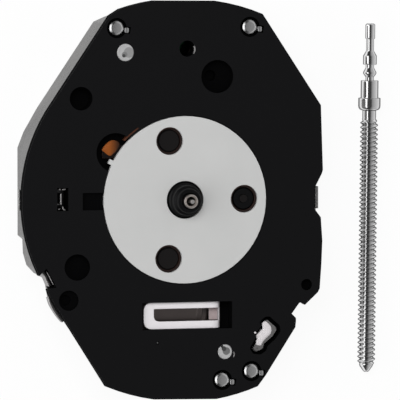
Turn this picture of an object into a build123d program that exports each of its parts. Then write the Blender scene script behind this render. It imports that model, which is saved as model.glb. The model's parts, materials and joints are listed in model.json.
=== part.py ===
from build123d import *
import math
import os

# A quartz watch movement with its setting stem, which lies loose beside it.
# Sizes are in millimetres. +Z points to the dial, +X to 3 o'clock, where the stem goes in,
# and +Y to 12 o'clock. The origin is on the hand axis, in the face that the movement lies on.
# A table whose name ends in shares holds places in the plan as shares of the casing radius.

# Heights of the case and of the moulded plate, from the back upwards
casing_radius = 9.95
plate_top = 3.0
flange_thickness = 0.45
plate_base = 0.50
web_low = 2.05
web_top = 2.25
cover_sheet = 0.15
cover_wall_top = 2.50
cover_gap = 0.05
cover_bend = 0.30
cover_tab_half = 0.55
cover_tab_top = 2.95
cover_tab_hole = 0.56
cover_slot_low = 0.38
cover_slot_height = 0.40
cut_over = 0.20

# Gears of the going train: teeth and modules
tooth_height_share = 1.0
root_depth_share = 1.25
tooth_root_share = 0.31
tooth_tip_share = 0.12
rotor_teeth = 8
fifth_teeth = 48
fifth_leaves = 8
seconds_teeth = 40
seconds_leaves = 8
third_teeth = 60
third_leaves = 8
centre_teeth = 64
rotor_module = casing_radius * 0.00603
fifth_module = casing_radius * 0.007538
centre_module = casing_radius * 0.005528
third_module = centre_module * (centre_teeth + third_leaves) / (seconds_leaves + third_teeth)
wheel_thickness = 0.10
arbor_radius = 0.12
pivot_radius = 0.07
pivot_clearance = 0.02
pivot_length = 0.16
bush_radius = 0.22
bridge_edge = casing_radius * 0.0603
fifth_angle = 155.8
rotor_angle = 88.3
third_angle = 40.0

# Heights of the going train
bridge_thickness = 0.30
bridge_drop = 0.02
fifth_wheel_low = 0.92
seconds_wheel_low = 1.12
third_wheel_low = 1.32
centre_wheel_low = 1.60
rotor_pinion_low = 0.88
rotor_pinion_length = 0.20
pinion_overlap = 0.04

# Hand posts, from the middle outwards
seconds_post_radius = 0.10
seconds_foot_radius = 0.09
seconds_seat_length = 0.25
centre_tube_bore = 0.12
centre_tube_radius = 0.19
centre_tube_drop = 0.25
cannon_bore = 0.21
cannon_radius = 0.35
cannon_foot_radius = 0.37
minute_seat_length = 0.30
hour_bore = 0.39
hour_seat_radius = 0.60
hour_seat_length = 0.30
hour_step_radius = 0.76
hour_step_length = 0.52
hour_hub_radius = 0.85
hour_hub_rise = 0.08

# Motion work under the dial
motion_module = casing_radius * 0.009045
cannon_teeth = 12
minute_teeth = 36
minute_leaves = 10
hour_teeth = 40
setting_teeth = 18
motion_wheel_low = 2.28
motion_wheel_thickness = 0.12
cannon_teeth_height = 0.14
minute_pinion_top = 2.60
hour_wheel_low = 2.46
motion_post_radius = 0.15
setting_post_radius = 0.20
post_clearance = 0.02
motion_recess_gap = 0.12
centre_bush_radius = 0.52
centre_bush_length = 0.28

# White disc and the guard under it
disc_radius = casing_radius * 0.417085
disc_thickness = 0.20
disc_hole_gap = 0.09
disc_window_radius = casing_radius * 0.069347
disc_window_circle = casing_radius * 0.304523
disc_window_angles = (0.0, 105.0, -106.0)
disc_key_angle = 153.0
disc_key_reach = casing_radius * 0.0205
disc_key_width = casing_radius * 0.024
disc_seat_gap = 0.05
guard_radius = casing_radius * 0.407035
guard_thickness = 0.18
guard_hole_gap = 0.10
guard_window_radius = casing_radius * 0.05829
guard_seat_gap = 0.04
stake_radius = casing_radius * 0.05025
stake_sink = 0.14
ear_radius = casing_radius * 0.057286
ear_cut = casing_radius * 0.0201
ear_pocket_radius = casing_radius * 0.097487
ear_pocket_depth = 0.50

# Step motor: rotor, stator and coil
magnet_radius = casing_radius * 0.05025
magnet_low = 1.46
magnet_height = 0.46
stator_low = 1.50
stator_thickness = 0.40
stator_hole_radius = casing_radius * 0.066332
stator_ring_radius = casing_radius * 0.100503
stator_half_width = casing_radius * 0.045226
stator_foot_radius = casing_radius * 0.070352
stator_reach = casing_radius * 0.160804
stator_lead = casing_radius * 0.100503
coil_angle = 49.4
coil_length = casing_radius * 0.880402
coil_from_rotor = casing_radius * 0.201005
rotor_along_coil = casing_radius * 0.492462
core_thickness = 0.40
core_half_width = casing_radius * 0.035176
winding_radius = 0.72
winding_start = casing_radius * 0.231156
winding_end = casing_radius * 0.723618
winding_bore = 0.55
bobbin_wall = casing_radius * 0.015075
bobbin_radius = 0.79
coil_board_thickness = 0.15
coil_board_start = casing_radius * 0.095477
coil_board_half_width = casing_radius * 0.080402
coil_pocket_gap = 0.12

# Battery and its contacts
battery_radius = casing_radius * 0.34171
battery_height = 2.10
battery_distance = casing_radius * 0.56583
battery_angle = -106.5
battery_cap_radius = casing_radius * 0.273367
battery_cap_step = 0.27
battery_gasket_radius = casing_radius * 0.296482
battery_rim_depth = 0.30
battery_cap_rise = 0.20
battery_gasket_rise = 0.05
battery_clearance = 0.06
battery_headroom = 0.15
contact_sheet = 0.08
contact_top = 2.78
contact_length = casing_radius * 0.4
contact_width = casing_radius * 0.135678
contact_slot_length = casing_radius * 0.321608
contact_slot_width = casing_radius * 0.062312
contact_corner = casing_radius * 0.025126
contact_foot_length = casing_radius * 0.160804
contact_side_gap = 0.06
contact_tail = casing_radius * 0.0603
clamp_half_width = casing_radius * 0.045226
clamp_window_gap = 0.18
battery_opening = casing_radius * 0.321608
clamp_leg_thickness = 0.15
clamp_leg_width = casing_radius * 0.05025
clamp_hook_top = 2.86
clamp_hook_thickness = 0.12
clamp_gap = 0.05

# Circuit: board, chip and quartz crystal
board_low = 0.26
board_thickness = 0.20
board_inset = 0.15
insulator_thickness = 0.04
insulator_lift = 0.03
insulator_inset = 0.60
chip_size = casing_radius * 0.170854
chip_height = 0.40
chip_corner = casing_radius * 0.035176
crystal_radius = 0.72
crystal_length = casing_radius * 0.482412
crystal_angle = -29.0
crystal_height = 1.30
crystal_end_round = 0.30
crystal_lead_radius = 0.09
crystal_lead_spread = casing_radius * 0.02814
crystal_lead_length = casing_radius * 0.070352
crystal_gap = 0.12
pad_radius = casing_radius * 0.02814
pad_height = 0.08
pad_gap = 0.10

# Setting work at 3 o'clock
stem_height = 1.85
stem_bore_radius = 0.46
stem_bore_length = casing_radius * 0.05628
stem_notch_depth = casing_radius * 0.669347
stem_tip_inset = casing_radius * 0.325628
stem_tip_bore = 0.265
setting_crown_radius = 0.50
setting_crown_low = casing_radius * 0.41206
setting_crown_length = casing_radius * 0.02412
setting_crown_teeth = 12
setting_crown_tooth_width = 0.11
setting_crown_tooth_depth = 0.12
setting_barrel_radius = 0.42
setting_barrel_length = casing_radius * 0.0462
setting_bore_flat = 0.52
setting_groove_width = casing_radius * 0.01608
setting_groove_depth = 0.09
setting_groove_from_end = casing_radius * 0.0201
setting_slide = 0.15
barrel_clearance = 0.03
lever_thickness = 0.15
lever_low = 1.02
lever_half_width = casing_radius * 0.02412
lever_pin_radius = 0.055
lever_pin_top = 1.60
lever_arm = casing_radius * 0.190955
lever_turn = 20.0
yoke_arm = casing_radius * 0.17588
yoke_half_width = casing_radius * 0.0201
yoke_finger_top = 1.50
lever_post_radius = 0.10
reset_half_width = casing_radius * 0.0201
reset_head_radius = casing_radius * 0.02412
detent_sheet = 0.10
detent_low = 0.86
detent_half_width = casing_radius * 0.03417
lever_room_gap = 0.20
lever_room_top = 1.27
lever_room_wide = casing_radius * 0.64824
pocket_gap = 0.25
chip_pocket_gap = 0.12
coil_slot_half = casing_radius * 0.057286
coil_slot_middle = casing_radius * 0.013

# Setting stem, measured from its tip
stem_tip_length = casing_radius * 0.0769
stem_tip_radius = 0.245
stem_tip_chamfer = 0.06
stem_neck_length = casing_radius * 0.0598
stem_neck_radius = 0.195
stem_cone_length = casing_radius * 0.025126
stem_shoulder_length = casing_radius * 0.0444
stem_shoulder_radius = 0.345
stem_groove_length = casing_radius * 0.0160
stem_groove_radius = 0.21
stem_bead_length = casing_radius * 0.04824
stem_bead_radius = 0.335
stem_bead_end_radius = 0.22
stem_body_length = casing_radius * 0.0876
stem_body_radius = 0.445
stem_collar_length = casing_radius * 0.0635
stem_collar_radius = 0.56
stem_collar_round = 0.20
stem_waist_length = casing_radius * 0.0374
stem_waist_radius = 0.345
thread_length = casing_radius * 1.2523
thread_pitch = 0.235
thread_radius = 0.45
thread_root_radius = 0.335
thread_crest = 0.03
stem_point_length = casing_radius * 0.03216
stem_point_radius = 0.12
stem_lean = 0.53

# Posts, screws and small holes
post_radius = casing_radius * 0.03618
post_sink = 0.08
post_ring = casing_radius * 0.01407
post_ring_depth = 0.26
lug_distance = casing_radius * 0.05427
lug_length = casing_radius * 0.03417
lug_width = casing_radius * 0.03417
lug_angle = -11.0
lug_thickness = 0.15
screw_tube_radii = (0.44, 0.375)
screw_radius = 0.20
screw_head_radius = 0.45
screw_head_height = 0.16
screw_slot_width = 0.12
screw_slot_depth = 0.07
screw_length = 0.95
boss_radius = 0.42
countersink_radius = 0.52
cover_screw_radius = 0.24
cover_screw_length = 1.45
foot_hole_radius = 0.40

# Places in the plan, as shares of the casing radius
keyed_post_shares = ((-0.350, 0.8595), (0.334, 0.857), (0.343, -0.863), (0.192, -0.904))
screw_tube_shares = ((-0.3055, 0.738), (0.206, -0.763))
foot_hole_shares = (0.011, 0.753)
crystal_start_shares = (0.038, 0.751)
chip_shares = (0.430, -0.400)
bridge_screw_shares = ((0.400, 0.270), (-0.352, -0.148), (0.128, 0.478))
contact_left_shares = (-0.213, -0.578)
clamp_leg_shares = (0.412, -0.665)
clamp_inner_shares = (-0.060, -0.500)
ear_shares = (-0.364, 0.233)
ear_pocket_shares = (-0.357, 0.241)
reset_pivot_shares = (0.261, -0.231)
reset_tip_shares = (0.176, -0.0855)
detent_screw_shares = (0.560, -0.185)
window_low_shares = (-0.213, -0.646)
window_high_shares = (0.243, -0.5105)
coil_slot_shares = (-0.655, -0.598)
cover_slot_shares = (-0.055, 0.049)
shallow_low_shares = (-0.525, -0.043)
shallow_high_shares = (-0.421, 0.043)
stem_tip_shares = (1.028, 0.8527)
pad_shares = (
    (0.250, 0.620),
    (0.500, 0.420),
    (0.600, -0.120),
    (0.300, -0.560),
    (-0.420, 0.600),
    (0.600, -0.300),
)

# Blind holes and counterbores in the dial side: x, y, radius and depth, all as shares
dial_hole_shares = (
    (-0.5325, 0.512, 0.0583, 0.0754),
    (0.166, 0.612, 0.0824, 0.0553),
    (0.142, 0.614, 0.0281, 0.0884),
    (-0.553, -0.326, 0.0653, 0.0402),
    (-0.597, -0.490, 0.0503, 0.0201),
    (-0.611, -0.489, 0.0271, 0.0402),
    (0.628, -0.436, 0.0281, 0.0402),
    (-0.141, -0.711, 0.0080, 0.0704),
)

# Outline of the flange of the plate: x share, y share and the run to the next point
plate_outline_shares = (
    (-0.161, 0.993, "line"), (0.161, 0.988, "arc"), (0.400, 0.9205, "line"), (0.7015, 0.461, "line"),
    (0.712, 0.137, "line"), (0.706, 0.118, "line"), (0.669, 0.047, "line"), (0.669, -0.057, "line"),
    (0.7015, -0.100, "line"), (0.7095, -0.217, "line"), (0.7045, -0.337, "line"), (0.696, -0.457, "line"),
    (0.686, -0.476, "line"), (0.620, -0.537, "line"), (0.6015, -0.524, "line"), (0.590, -0.527, "line"),
    (0.551, -0.580, "line"), (0.573, -0.602, "line"), (0.573, -0.620, "line"), (0.571, -0.636, "line"),
    (0.570, -0.648, "line"), (0.415, -0.888, "line"), (0.375, -0.940, "arc"), (0.161, -0.9985, "line"),
    (-0.161, -0.993, "arc"), (-0.404, -0.924, "line"), (-0.680, -0.487, "line"), (-0.698, -0.4585, "line"),
    (-0.7055, -0.433, "line"), (-0.659, -0.4225, "line"), (-0.7085, -0.3275, "line"),
    (-0.7475, -0.365, "line"), (-0.754, -0.349, "arc"), (-0.6775, 0.4915, "line"), (-0.385, 0.922, "line"),
    (-0.334, 0.953, "arc"),
)

# Outline of the stamped back cover, a little inside the flange
cover_outline_shares = (
    (-0.397, 0.879, "arc"), (-0.126, 0.959, "line"), (-0.111, 0.973, "line"), (0.111, 0.973, "line"),
    (0.126, 0.959, "arc"), (0.386, 0.886, "line"), (0.683, 0.445, "line"), (0.689, 0.432, "line"),
    (0.689, -0.427, "line"), (0.653, -0.457, "line"), (0.538, -0.558, "line"), (0.523, -0.648, "line"),
    (0.377, -0.879, "arc"), (0.126, -0.959, "line"), (0.111, -0.973, "line"), (-0.111, -0.973, "line"),
    (-0.126, -0.959, "arc"), (-0.362, -0.896, "line"), (-0.636, -0.497, "line"), (-0.653, -0.402, "line"),
    (-0.7065, -0.371, "line"), (-0.743, -0.332, "line"), (-0.761, -0.271, "line"), (-0.764, -0.201,
                                                                                    "line"),
    (-0.788, -0.181, "line"), (-0.788, 0.256, "line"), (-0.757, 0.334, "line"), (-0.688, 0.452, "line"),
)

# Outline of the hook of the battery clamp, seen in the window at 4 to 5 o'clock
hook_outline_shares = (
    (0.421, -0.610), (0.405, -0.623), (0.419, -0.638), (0.380, -0.682), (0.386, -0.694), (0.378, -0.711),
    (0.354, -0.748), (0.362, -0.760), (0.386, -0.763), (0.405, -0.751), (0.411, -0.729), (0.453, -0.694),
    (0.475, -0.663), (0.472, -0.647), (0.447, -0.625), (0.431, -0.610),
)


def polar(radius, degrees, middle=(0, 0)):
    """Point at a radius and angle from a middle."""
    turn = math.radians(degrees)
    return (middle[0] + radius * math.cos(turn), middle[1] + radius * math.sin(turn))


def place(shares):
    """Point in millimetres from shares of the casing radius."""
    return (casing_radius * shares[0], casing_radius * shares[1])


def drum(radius, low, high, at=(0, 0)):
    """Upright cylinder between two heights."""
    solid = Cylinder(radius, high - low, align=(Align.CENTER, Align.CENTER, Align.MIN))
    return Pos(at[0], at[1], low) * solid


def taper(low_radius, high_radius, low, high):
    """Upright cone about the hand axis."""
    solid = Cone(low_radius, high_radius, high - low, align=(Align.CENTER, Align.CENTER, Align.MIN))
    return Pos(0, 0, low) * solid


def hole(radius, low, high, at=(0, 0)):
    """Upright cylinder that passes two heights, for a hole."""
    return drum(radius, low - cut_over, high + cut_over, at)


def ring(outer, inner, low, high, at=(0, 0)):
    """Upright tube between two heights."""
    return drum(outer, low, high, at) - hole(inner, low, high, at)


def block(x_low, x_high, y_low, y_high, z_low, z_high):
    """Box between two corners."""
    solid = Box(x_high - x_low, y_high - y_low, z_high - z_low, align=(Align.MIN, Align.MIN, Align.MIN))
    return Pos(x_low, y_low, z_low) * solid


def slab(face, low, high):
    """Flat face in the plan, raised between two heights."""
    return extrude(Pos(0, 0, low) * face, amount=high - low, dir=(0, 0, 1))


def bar(start, end, half_width, low, high):
    """Flat bar with round ends from one point to another."""
    length = math.dist(start, end)
    turn = math.degrees(math.atan2(end[1] - start[1], end[0] - start[0]))
    middle = ((start[0] + end[0]) / 2, (start[1] + end[1]) / 2)
    face = Pos(middle[0], middle[1]) * Rot(0, 0, turn) * SlotCenterToCenter(length, 2 * half_width)
    return slab(face, low, high)


def outline_face(stations):
    """Face in a loop of straight runs and of arcs about the hand axis."""
    edges = []
    for index, (x_share, y_share, run) in enumerate(stations):
        x_next, y_next, _ = stations[(index + 1) % len(stations)]
        start = place((x_share, y_share))
        end = place((x_next, y_next))
        if run == "arc":
            turn = math.degrees(math.atan2(start[1] + end[1], start[0] + end[0]))
            middle = polar((math.hypot(*start) + math.hypot(*end)) / 2, turn)
            edges.append(ThreePointArc(start, middle, end))
        else:
            edges.append(Line(start, end))
    return make_face(edges)


def gear_face(teeth, module, phase):
    """Toothed outline with one tooth centred on the angle phase."""
    pitch = 360 / teeth
    tip = module * (teeth / 2 + tooth_height_share)
    root = module * (teeth / 2 - root_depth_share)
    corners = []
    for index in range(teeth):
        middle = phase + index * pitch
        corners.append(polar(root, middle - tooth_root_share * pitch))
        corners.append(polar(tip, middle - tooth_tip_share * pitch))
        corners.append(polar(tip, middle + tooth_tip_share * pitch))
        corners.append(polar(root, middle + tooth_root_share * pitch))
    return Polygon(*corners, align=None)


def gear(teeth, module, phase, low, high, at=(0, 0)):
    """Toothed wheel or pinion between two heights."""
    return Pos(at[0], at[1], 0) * slab(gear_face(teeth, module, phase), low, high)


def meshed_phase(phase, teeth, other_teeth, direction):
    """Phase of a gear that meshes with another one, which lies in the given direction from it."""
    return direction + 180 - (phase - direction) * teeth / other_teeth - 180 / other_teeth


def mesh_distance(module, teeth, other_teeth):
    """Distance between the axes of two meshed gears."""
    return module * (teeth + other_teeth) / 2


def gear_reach(module, teeth):
    """Radius over the teeth."""
    return module * (teeth / 2 + tooth_height_share)


def direction_to(start, end):
    """Angle of the line from one point to another."""
    return math.degrees(math.atan2(end[1] - start[1], end[0] - start[0]))


def screw(at, head_low, length, radius, head_radius, head_height):
    """Cheese-head screw that is driven from the back, with a slot across its head."""
    head = drum(head_radius, head_low, head_low + head_height, at)
    half_slot = screw_slot_width / 2
    slot = block(at[0] - head_radius - cut_over, at[0] + head_radius + cut_over, at[1] - half_slot,
                 at[1] + half_slot, head_low - cut_over, head_low + screw_slot_depth)
    shank = drum(radius, head_low + head_height, head_low + head_height + length, at)
    return head - slot + shank


# Axes of the wheels
bridge_low = plate_base + bridge_drop
bridge_top = bridge_low + bridge_thickness
fifth_at = polar(mesh_distance(fifth_module, fifth_leaves, seconds_teeth), fifth_angle)
rotor_at = polar(mesh_distance(rotor_module, rotor_teeth, fifth_teeth), rotor_angle, fifth_at)
third_at = polar(mesh_distance(third_module, seconds_leaves, third_teeth), third_angle)
setting_at = polar(disc_window_circle, disc_window_angles[0])
minute_distance = mesh_distance(motion_module, cannon_teeth, minute_teeth)
hour_module = 2 * minute_distance / (minute_leaves + hour_teeth)
setting_distance = mesh_distance(motion_module, minute_teeth, setting_teeth)
minute_cosine = (minute_distance ** 2 + disc_window_circle ** 2 - setting_distance ** 2)
minute_cosine /= 2 * minute_distance * disc_window_circle
minute_angle = math.degrees(math.acos(minute_cosine))
minute_at = polar(minute_distance, minute_angle)
battery_at = polar(battery_distance, battery_angle)

# Lie of the coil and the stator: distance along the coil and distance towards the hand axis
coil_foot = polar(rotor_along_coil, coil_angle + 180, polar(coil_from_rotor, coil_angle + 90, rotor_at))


def along_coil(along, inward):
    """Point from its distance along the coil and its distance from the coil's axis."""
    return polar(inward, coil_angle - 90, polar(along, coil_angle, coil_foot))


coil_end = along_coil(coil_length, 0)
core_low = stator_low - core_thickness
core_middle = core_low + core_thickness / 2
coil_turn = Pos(coil_foot[0], coil_foot[1], core_middle) * Rot(0, 0, coil_angle)
stator_path = (
    along_coil(0, 0),
    along_coil(stator_lead, stator_reach),
    rotor_at,
    along_coil(coil_length - stator_lead, stator_reach),
    coil_end,
)
stator_top = stator_low + stator_thickness
battery_low = cover_sheet
battery_top = battery_low + battery_height
disc_low = plate_top - disc_thickness
guard_low = disc_low - guard_thickness
board_top = board_low + board_thickness
hour_hub_top = plate_top + hour_hub_rise
hour_step_top = hour_hub_top + hour_step_length
hour_seat_top = hour_step_top + hour_seat_length
cannon_top = hour_seat_top + minute_seat_length
seconds_post_top = cannon_top + seconds_seat_length
centre_tube_top = hour_seat_top - centre_tube_drop
crystal_start = place(crystal_start_shares)
crystal_leads_end = polar(crystal_length + crystal_lead_length, crystal_angle, crystal_start)
stem_tip_at = place(stem_tip_shares)
thread_start = stem_tip_length + stem_neck_length + stem_cone_length + stem_shoulder_length
thread_start += 2 * stem_groove_length + stem_bead_length + stem_body_length
thread_start += stem_collar_length + stem_waist_length
barrel_low = setting_crown_low + setting_crown_length
barrel_end = barrel_low + setting_barrel_length
groove_middle = barrel_end - setting_groove_from_end
lever_top = lever_low + lever_thickness
lever_pin_at = (stem_tip_inset + stem_tip_length + stem_neck_length + stem_cone_length
                + stem_shoulder_length + stem_groove_length / 2, 0)
lever_pivot = (lever_pin_at[0], lever_arm)
yoke_pivot = (groove_middle, -yoke_arm)
reset_pivot = place(reset_pivot_shares)
reset_tip = place(reset_tip_shares)
reset_reach = math.dist(reset_pivot, reset_tip)
reset_turned = polar(reset_reach, direction_to(reset_pivot, reset_tip) + lever_turn, reset_pivot)
detent_screw_at = place(detent_screw_shares)
clamp_leg_at = place(clamp_leg_shares)
clamp_inner_at = place(clamp_inner_shares)
window_low = place(window_low_shares)
window_high = place(window_high_shares)

plate_face = outline_face(plate_outline_shares)
cover_face = outline_face(cover_outline_shares)


def inside_cover(inset):
    """Plan of the cover, drawn in by an inset."""
    return offset(cover_face, amount=-inset, kind=Kind.INTERSECTION)


def stem_axis_drum(radius, x_low, x_high):
    """Cylinder on the axis of the stem bore."""
    solid = Cylinder(radius, x_high - x_low, align=(Align.CENTER, Align.CENTER, Align.MIN))
    return Pos(x_low, 0, stem_height) * Rot(0, 90, 0) * solid


def stem_axis_hole(radius, x_low, x_high):
    """Cylinder on the axis of the stem bore that passes two places along it, for a hole."""
    return stem_axis_drum(radius, x_low - cut_over, x_high + cut_over)


def main_plate():
    """Black moulded plate: a flange on the dial side, a web, and pockets open to the back."""
    flange_low = plate_top - flange_thickness
    plate = slab(inside_cover(cover_sheet + cover_gap), plate_base, flange_low)
    plate += slab(plate_face, flange_low, plate_top)
    under = plate_base - cut_over
    reach = {
        (0, 0): gear_reach(centre_module, centre_teeth),
        third_at: gear_reach(third_module, third_teeth),
        fifth_at: gear_reach(rotor_module, fifth_teeth),
        rotor_at: stator_ring_radius,
    }
    for at, radius in reach.items():
        plate -= drum(radius + pocket_gap, under, web_low, at)
    for start, end in zip(stator_path, stator_path[1:]):
        plate -= bar(start, end, stator_half_width + pocket_gap, under, web_low)
    for at in (coil_foot, coil_end):
        plate -= drum(stator_foot_radius + coil_pocket_gap, under, web_low, at)
    coil_room = max(bobbin_radius, coil_board_half_width) + coil_pocket_gap
    plate -= bar(coil_foot, coil_end, coil_room, under, web_low)
    plate -= drum(battery_radius + battery_clearance, under, battery_top + battery_headroom, battery_at)
    plate -= bar(crystal_start, crystal_leads_end, crystal_radius + crystal_gap, under,
                 web_low + cover_gap)
    plate -= bridge_face_solid(bridge_edge + cover_gap, under, bridge_top)
    chip_at = place(chip_shares)
    chip_room = chip_size / 2 + chip_pocket_gap
    plate -= block(chip_at[0] - chip_room, chip_at[0] + chip_room, chip_at[1] - chip_room,
                   chip_at[1] + chip_room, under, board_top + chip_height + chip_pocket_gap)
    for at_shares in pad_shares:
        plate -= drum(pad_radius + pad_gap, under, board_top + pad_height + pad_gap, place(at_shares))
    plate = plate - setting_room(under) - dial_side_cuts()
    for at_shares in bridge_screw_shares:
        at = place(at_shares)
        plate += drum(boss_radius, bridge_top, web_top, at)
        plate -= drum(screw_radius, bridge_low, bridge_top + screw_length, at)
    plate += drum(boss_radius, detent_low + detent_sheet, web_low, detent_screw_at)
    plate -= drum(screw_radius, detent_low, detent_low + screw_length, detent_screw_at)
    for at in (lever_pivot, yoke_pivot, reset_pivot):
        plate += drum(lever_post_radius, detent_low + detent_sheet, lever_room_top + cut_over, at)
    for at in (coil_foot, coil_end):
        plate -= drum(screw_radius, under, web_top - post_clearance, at)
    for at in (third_at, fifth_at, rotor_at):
        plate -= drum(pivot_radius + pivot_clearance, under, web_low + pivot_length, at)
    for at_shares, radius in zip(screw_tube_shares, screw_tube_radii):
        plate -= drum(radius, under, plate_top + cut_over, place(at_shares))
    for at_shares in keyed_post_shares:
        plate -= keyed_post_room(place(at_shares))
    plate -= slab(leg_face(clamp_gap), under, plate_top)
    plate += motion_posts()
    return plate - minus_contact()


def setting_room(under):
    """Room for the setting pinion, the levers and the stem in the plate."""
    crown_end = setting_crown_low - setting_slide - post_clearance
    bearing_low = barrel_low + post_clearance
    wall = stem_notch_depth - stem_bore_length
    half = setting_crown_radius + post_clearance
    room = block(crown_end, bearing_low, -half, half, under, stem_height + half)
    room += block(barrel_end, wall, -half, half, under, stem_height + half)
    for pivot, end, half_width in (
        (lever_pivot, lever_pin_at, lever_half_width),
        (yoke_pivot, (groove_middle, 0), yoke_half_width),
        (reset_pivot, reset_tip, reset_head_radius),
        (reset_pivot, reset_turned, reset_head_radius),
    ):
        room += bar(pivot, end, half_width + lever_room_gap, under, lever_room_top)
    room += block(lever_pin_at[0], lever_room_wide, -setting_crown_radius, lever_arm, under,
                  lever_room_top)
    room += block(groove_middle - lever_arm / 2, lever_room_wide, -setting_crown_radius,
                  setting_crown_radius,
                  under, lever_room_top)
    room += bar(reset_pivot, detent_screw_at, lever_half_width + lever_room_gap, under, lever_room_top)
    room += bar(detent_screw_at, lever_pin_at, boss_radius + lever_room_gap, under, lever_room_top)
    room += stem_axis_hole(setting_barrel_radius + barrel_clearance, bearing_low, barrel_end)
    room += stem_axis_drum(stem_bore_radius, wall - cut_over, stem_notch_depth + 2 * cut_over)
    room += stem_axis_hole(stem_tip_bore, stem_tip_inset, crown_end)
    return room


def dial_side_cuts():
    """Recesses, windows and holes that are open to the dial."""
    over = plate_top + cut_over
    cuts = drum(disc_radius + disc_seat_gap, disc_low, over)
    cuts += drum(guard_radius + guard_seat_gap, guard_low, over)
    for at, radius in (
        ((0, 0), gear_reach(hour_module, hour_teeth)),
        (minute_at, gear_reach(motion_module, minute_teeth)),
        (setting_at, gear_reach(motion_module, setting_teeth)),
    ):
        cuts += drum(radius + motion_recess_gap, web_top, over, at)
    cuts += drum(centre_bush_radius, web_low - cut_over, over)
    cuts += drum(ear_pocket_radius, plate_top - ear_pocket_depth, over, place(ear_pocket_shares))
    cuts += disc_key(disc_low, over, disc_seat_gap)
    for x_share, y_share, radius_share, depth_share in dial_hole_shares:
        radius, depth = place((radius_share, depth_share))
        cuts += drum(radius, plate_top - depth, over, place((x_share, y_share)))
    cuts += drum(foot_hole_radius, web_low - cut_over, over, place(foot_hole_shares))
    shallow_low = place(shallow_low_shares)
    shallow_high = place(shallow_high_shares)
    cuts += block(shallow_low[0], shallow_high[0], shallow_low[1], shallow_high[1],
                  plate_top - cover_sheet, over)
    slot_low, slot_high = place(coil_slot_shares)
    slot_end = coil_slot_middle + coil_slot_half
    cuts += block(slot_low, slot_high, coil_slot_middle - coil_slot_half, slot_end, web_low - cut_over, over)
    cuts += block(window_low[0] - contact_side_gap, window_high[0], window_low[1], window_high[1],
                  battery_top, over)
    cuts += slab(offset(hook_face(), amount=clamp_window_gap), plate_top - ear_pocket_depth, over)
    return cuts


def disc_key(low, high, gap=0):
    """Key of the white disc, or its seat with a gap all round."""
    key = block(disc_radius - disc_key_width, disc_radius + disc_key_reach + gap,
                -disc_key_width / 2 - gap, disc_key_width / 2 + gap, low, high)
    return Rot(0, 0, disc_key_angle) * key


def motion_posts():
    """Posts of the motion work that stand on the web."""
    posts = drum(motion_post_radius, web_low, minute_pinion_top, minute_at)
    posts += drum(setting_post_radius, web_low, plate_top - stake_sink, setting_at)
    for angle in disc_window_angles[1:]:
        low = battery_top + battery_headroom
        posts += drum(stake_radius, low, plate_top - stake_sink, polar(disc_window_circle, angle))
    return posts


def keyed_post(at, gap=0):
    """Post with a lug at its top, or its seat with a gap all round the head."""
    top = plate_top - post_sink
    post = drum(post_radius, cover_wall_top + post_clearance, top, at)
    lug = block(0, lug_distance + lug_length / 2, -lug_width / 2, lug_width / 2, top - lug_thickness, top)
    return post + Pos(at[0], at[1], 0) * Rot(0, 0, lug_angle) * lug


def keyed_post_room(at):
    """Hole of a keyed post with the ring recess round its head."""
    over = plate_top + cut_over
    room = drum(post_radius, cover_wall_top - cut_over, over, at)
    room += drum(post_radius + post_ring, plate_top - post_ring_depth, over, at)
    lug = block(0, lug_distance + lug_length / 2, -lug_width / 2, lug_width / 2,
                plate_top - post_ring_depth, over)
    return room + Pos(at[0], at[1], 0) * Rot(0, 0, lug_angle) * lug


def hook_face():
    """Plan of the hook of the battery clamp."""
    return Polygon(*[place(shares) for shares in hook_outline_shares], align=None)


def leg_face(gap=0):
    """Plan of the upright leg of the battery clamp."""
    leg = Rectangle(clamp_leg_width + 2 * gap, clamp_leg_thickness + 2 * gap)
    return Pos(clamp_leg_at[0], clamp_leg_at[1]) * leg


def bridge_face_solid(edge, low, high):
    """Bridge plan between two heights: a loop of bars through screws and pivots, filled in."""
    screws = [place(at_shares) for at_shares in bridge_screw_shares]
    loop = [screws[1], (0, 0), screws[0], screws[2], rotor_at]
    solid = slab(Polygon(*loop, align=None), low, high)
    for index, start in enumerate(loop):
        solid += bar(start, loop[(index + 1) % len(loop)], edge, low, high)
    return solid


def wheel_with_pinion(teeth, module, phase, leaves, leaf_module, leaf_phase, wheel_low, pinion_high, at):
    """Wheel and pinion on one arbor, with a pivot at both ends."""
    wheel_high = wheel_low + wheel_thickness
    solid = gear(teeth, module, phase, wheel_low, wheel_high, at)
    solid += gear(leaves, leaf_module, leaf_phase, wheel_high, pinion_high, at)
    solid += drum(arbor_radius, bridge_top + pivot_clearance, web_low - pivot_clearance, at)
    return solid + drum(pivot_radius, bridge_low + pivot_clearance,
                        web_low + pivot_length - pivot_clearance, at)


# Phases of the teeth, from the seconds wheel outwards
seconds_phase = 0
seconds_pinion_phase = 0
centre_phase = 0
fifth_pinion_phase = meshed_phase(seconds_phase, seconds_teeth, fifth_leaves, fifth_angle)
fifth_phase = 0
rotor_phase = meshed_phase(fifth_phase, fifth_teeth, rotor_teeth, rotor_angle)
third_phase = meshed_phase(seconds_pinion_phase, seconds_leaves, third_teeth, third_angle)
third_pinion_phase = meshed_phase(centre_phase, centre_teeth, third_leaves, third_angle)
cannon_phase = 0
minute_phase = meshed_phase(cannon_phase, cannon_teeth, minute_teeth, minute_angle)
hour_phase = 0
minute_pinion_phase = meshed_phase(hour_phase, hour_teeth, minute_leaves, minute_angle)
setting_direction = direction_to(minute_at, setting_at)
setting_phase = meshed_phase(minute_phase, minute_teeth, setting_teeth, setting_direction)


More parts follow.
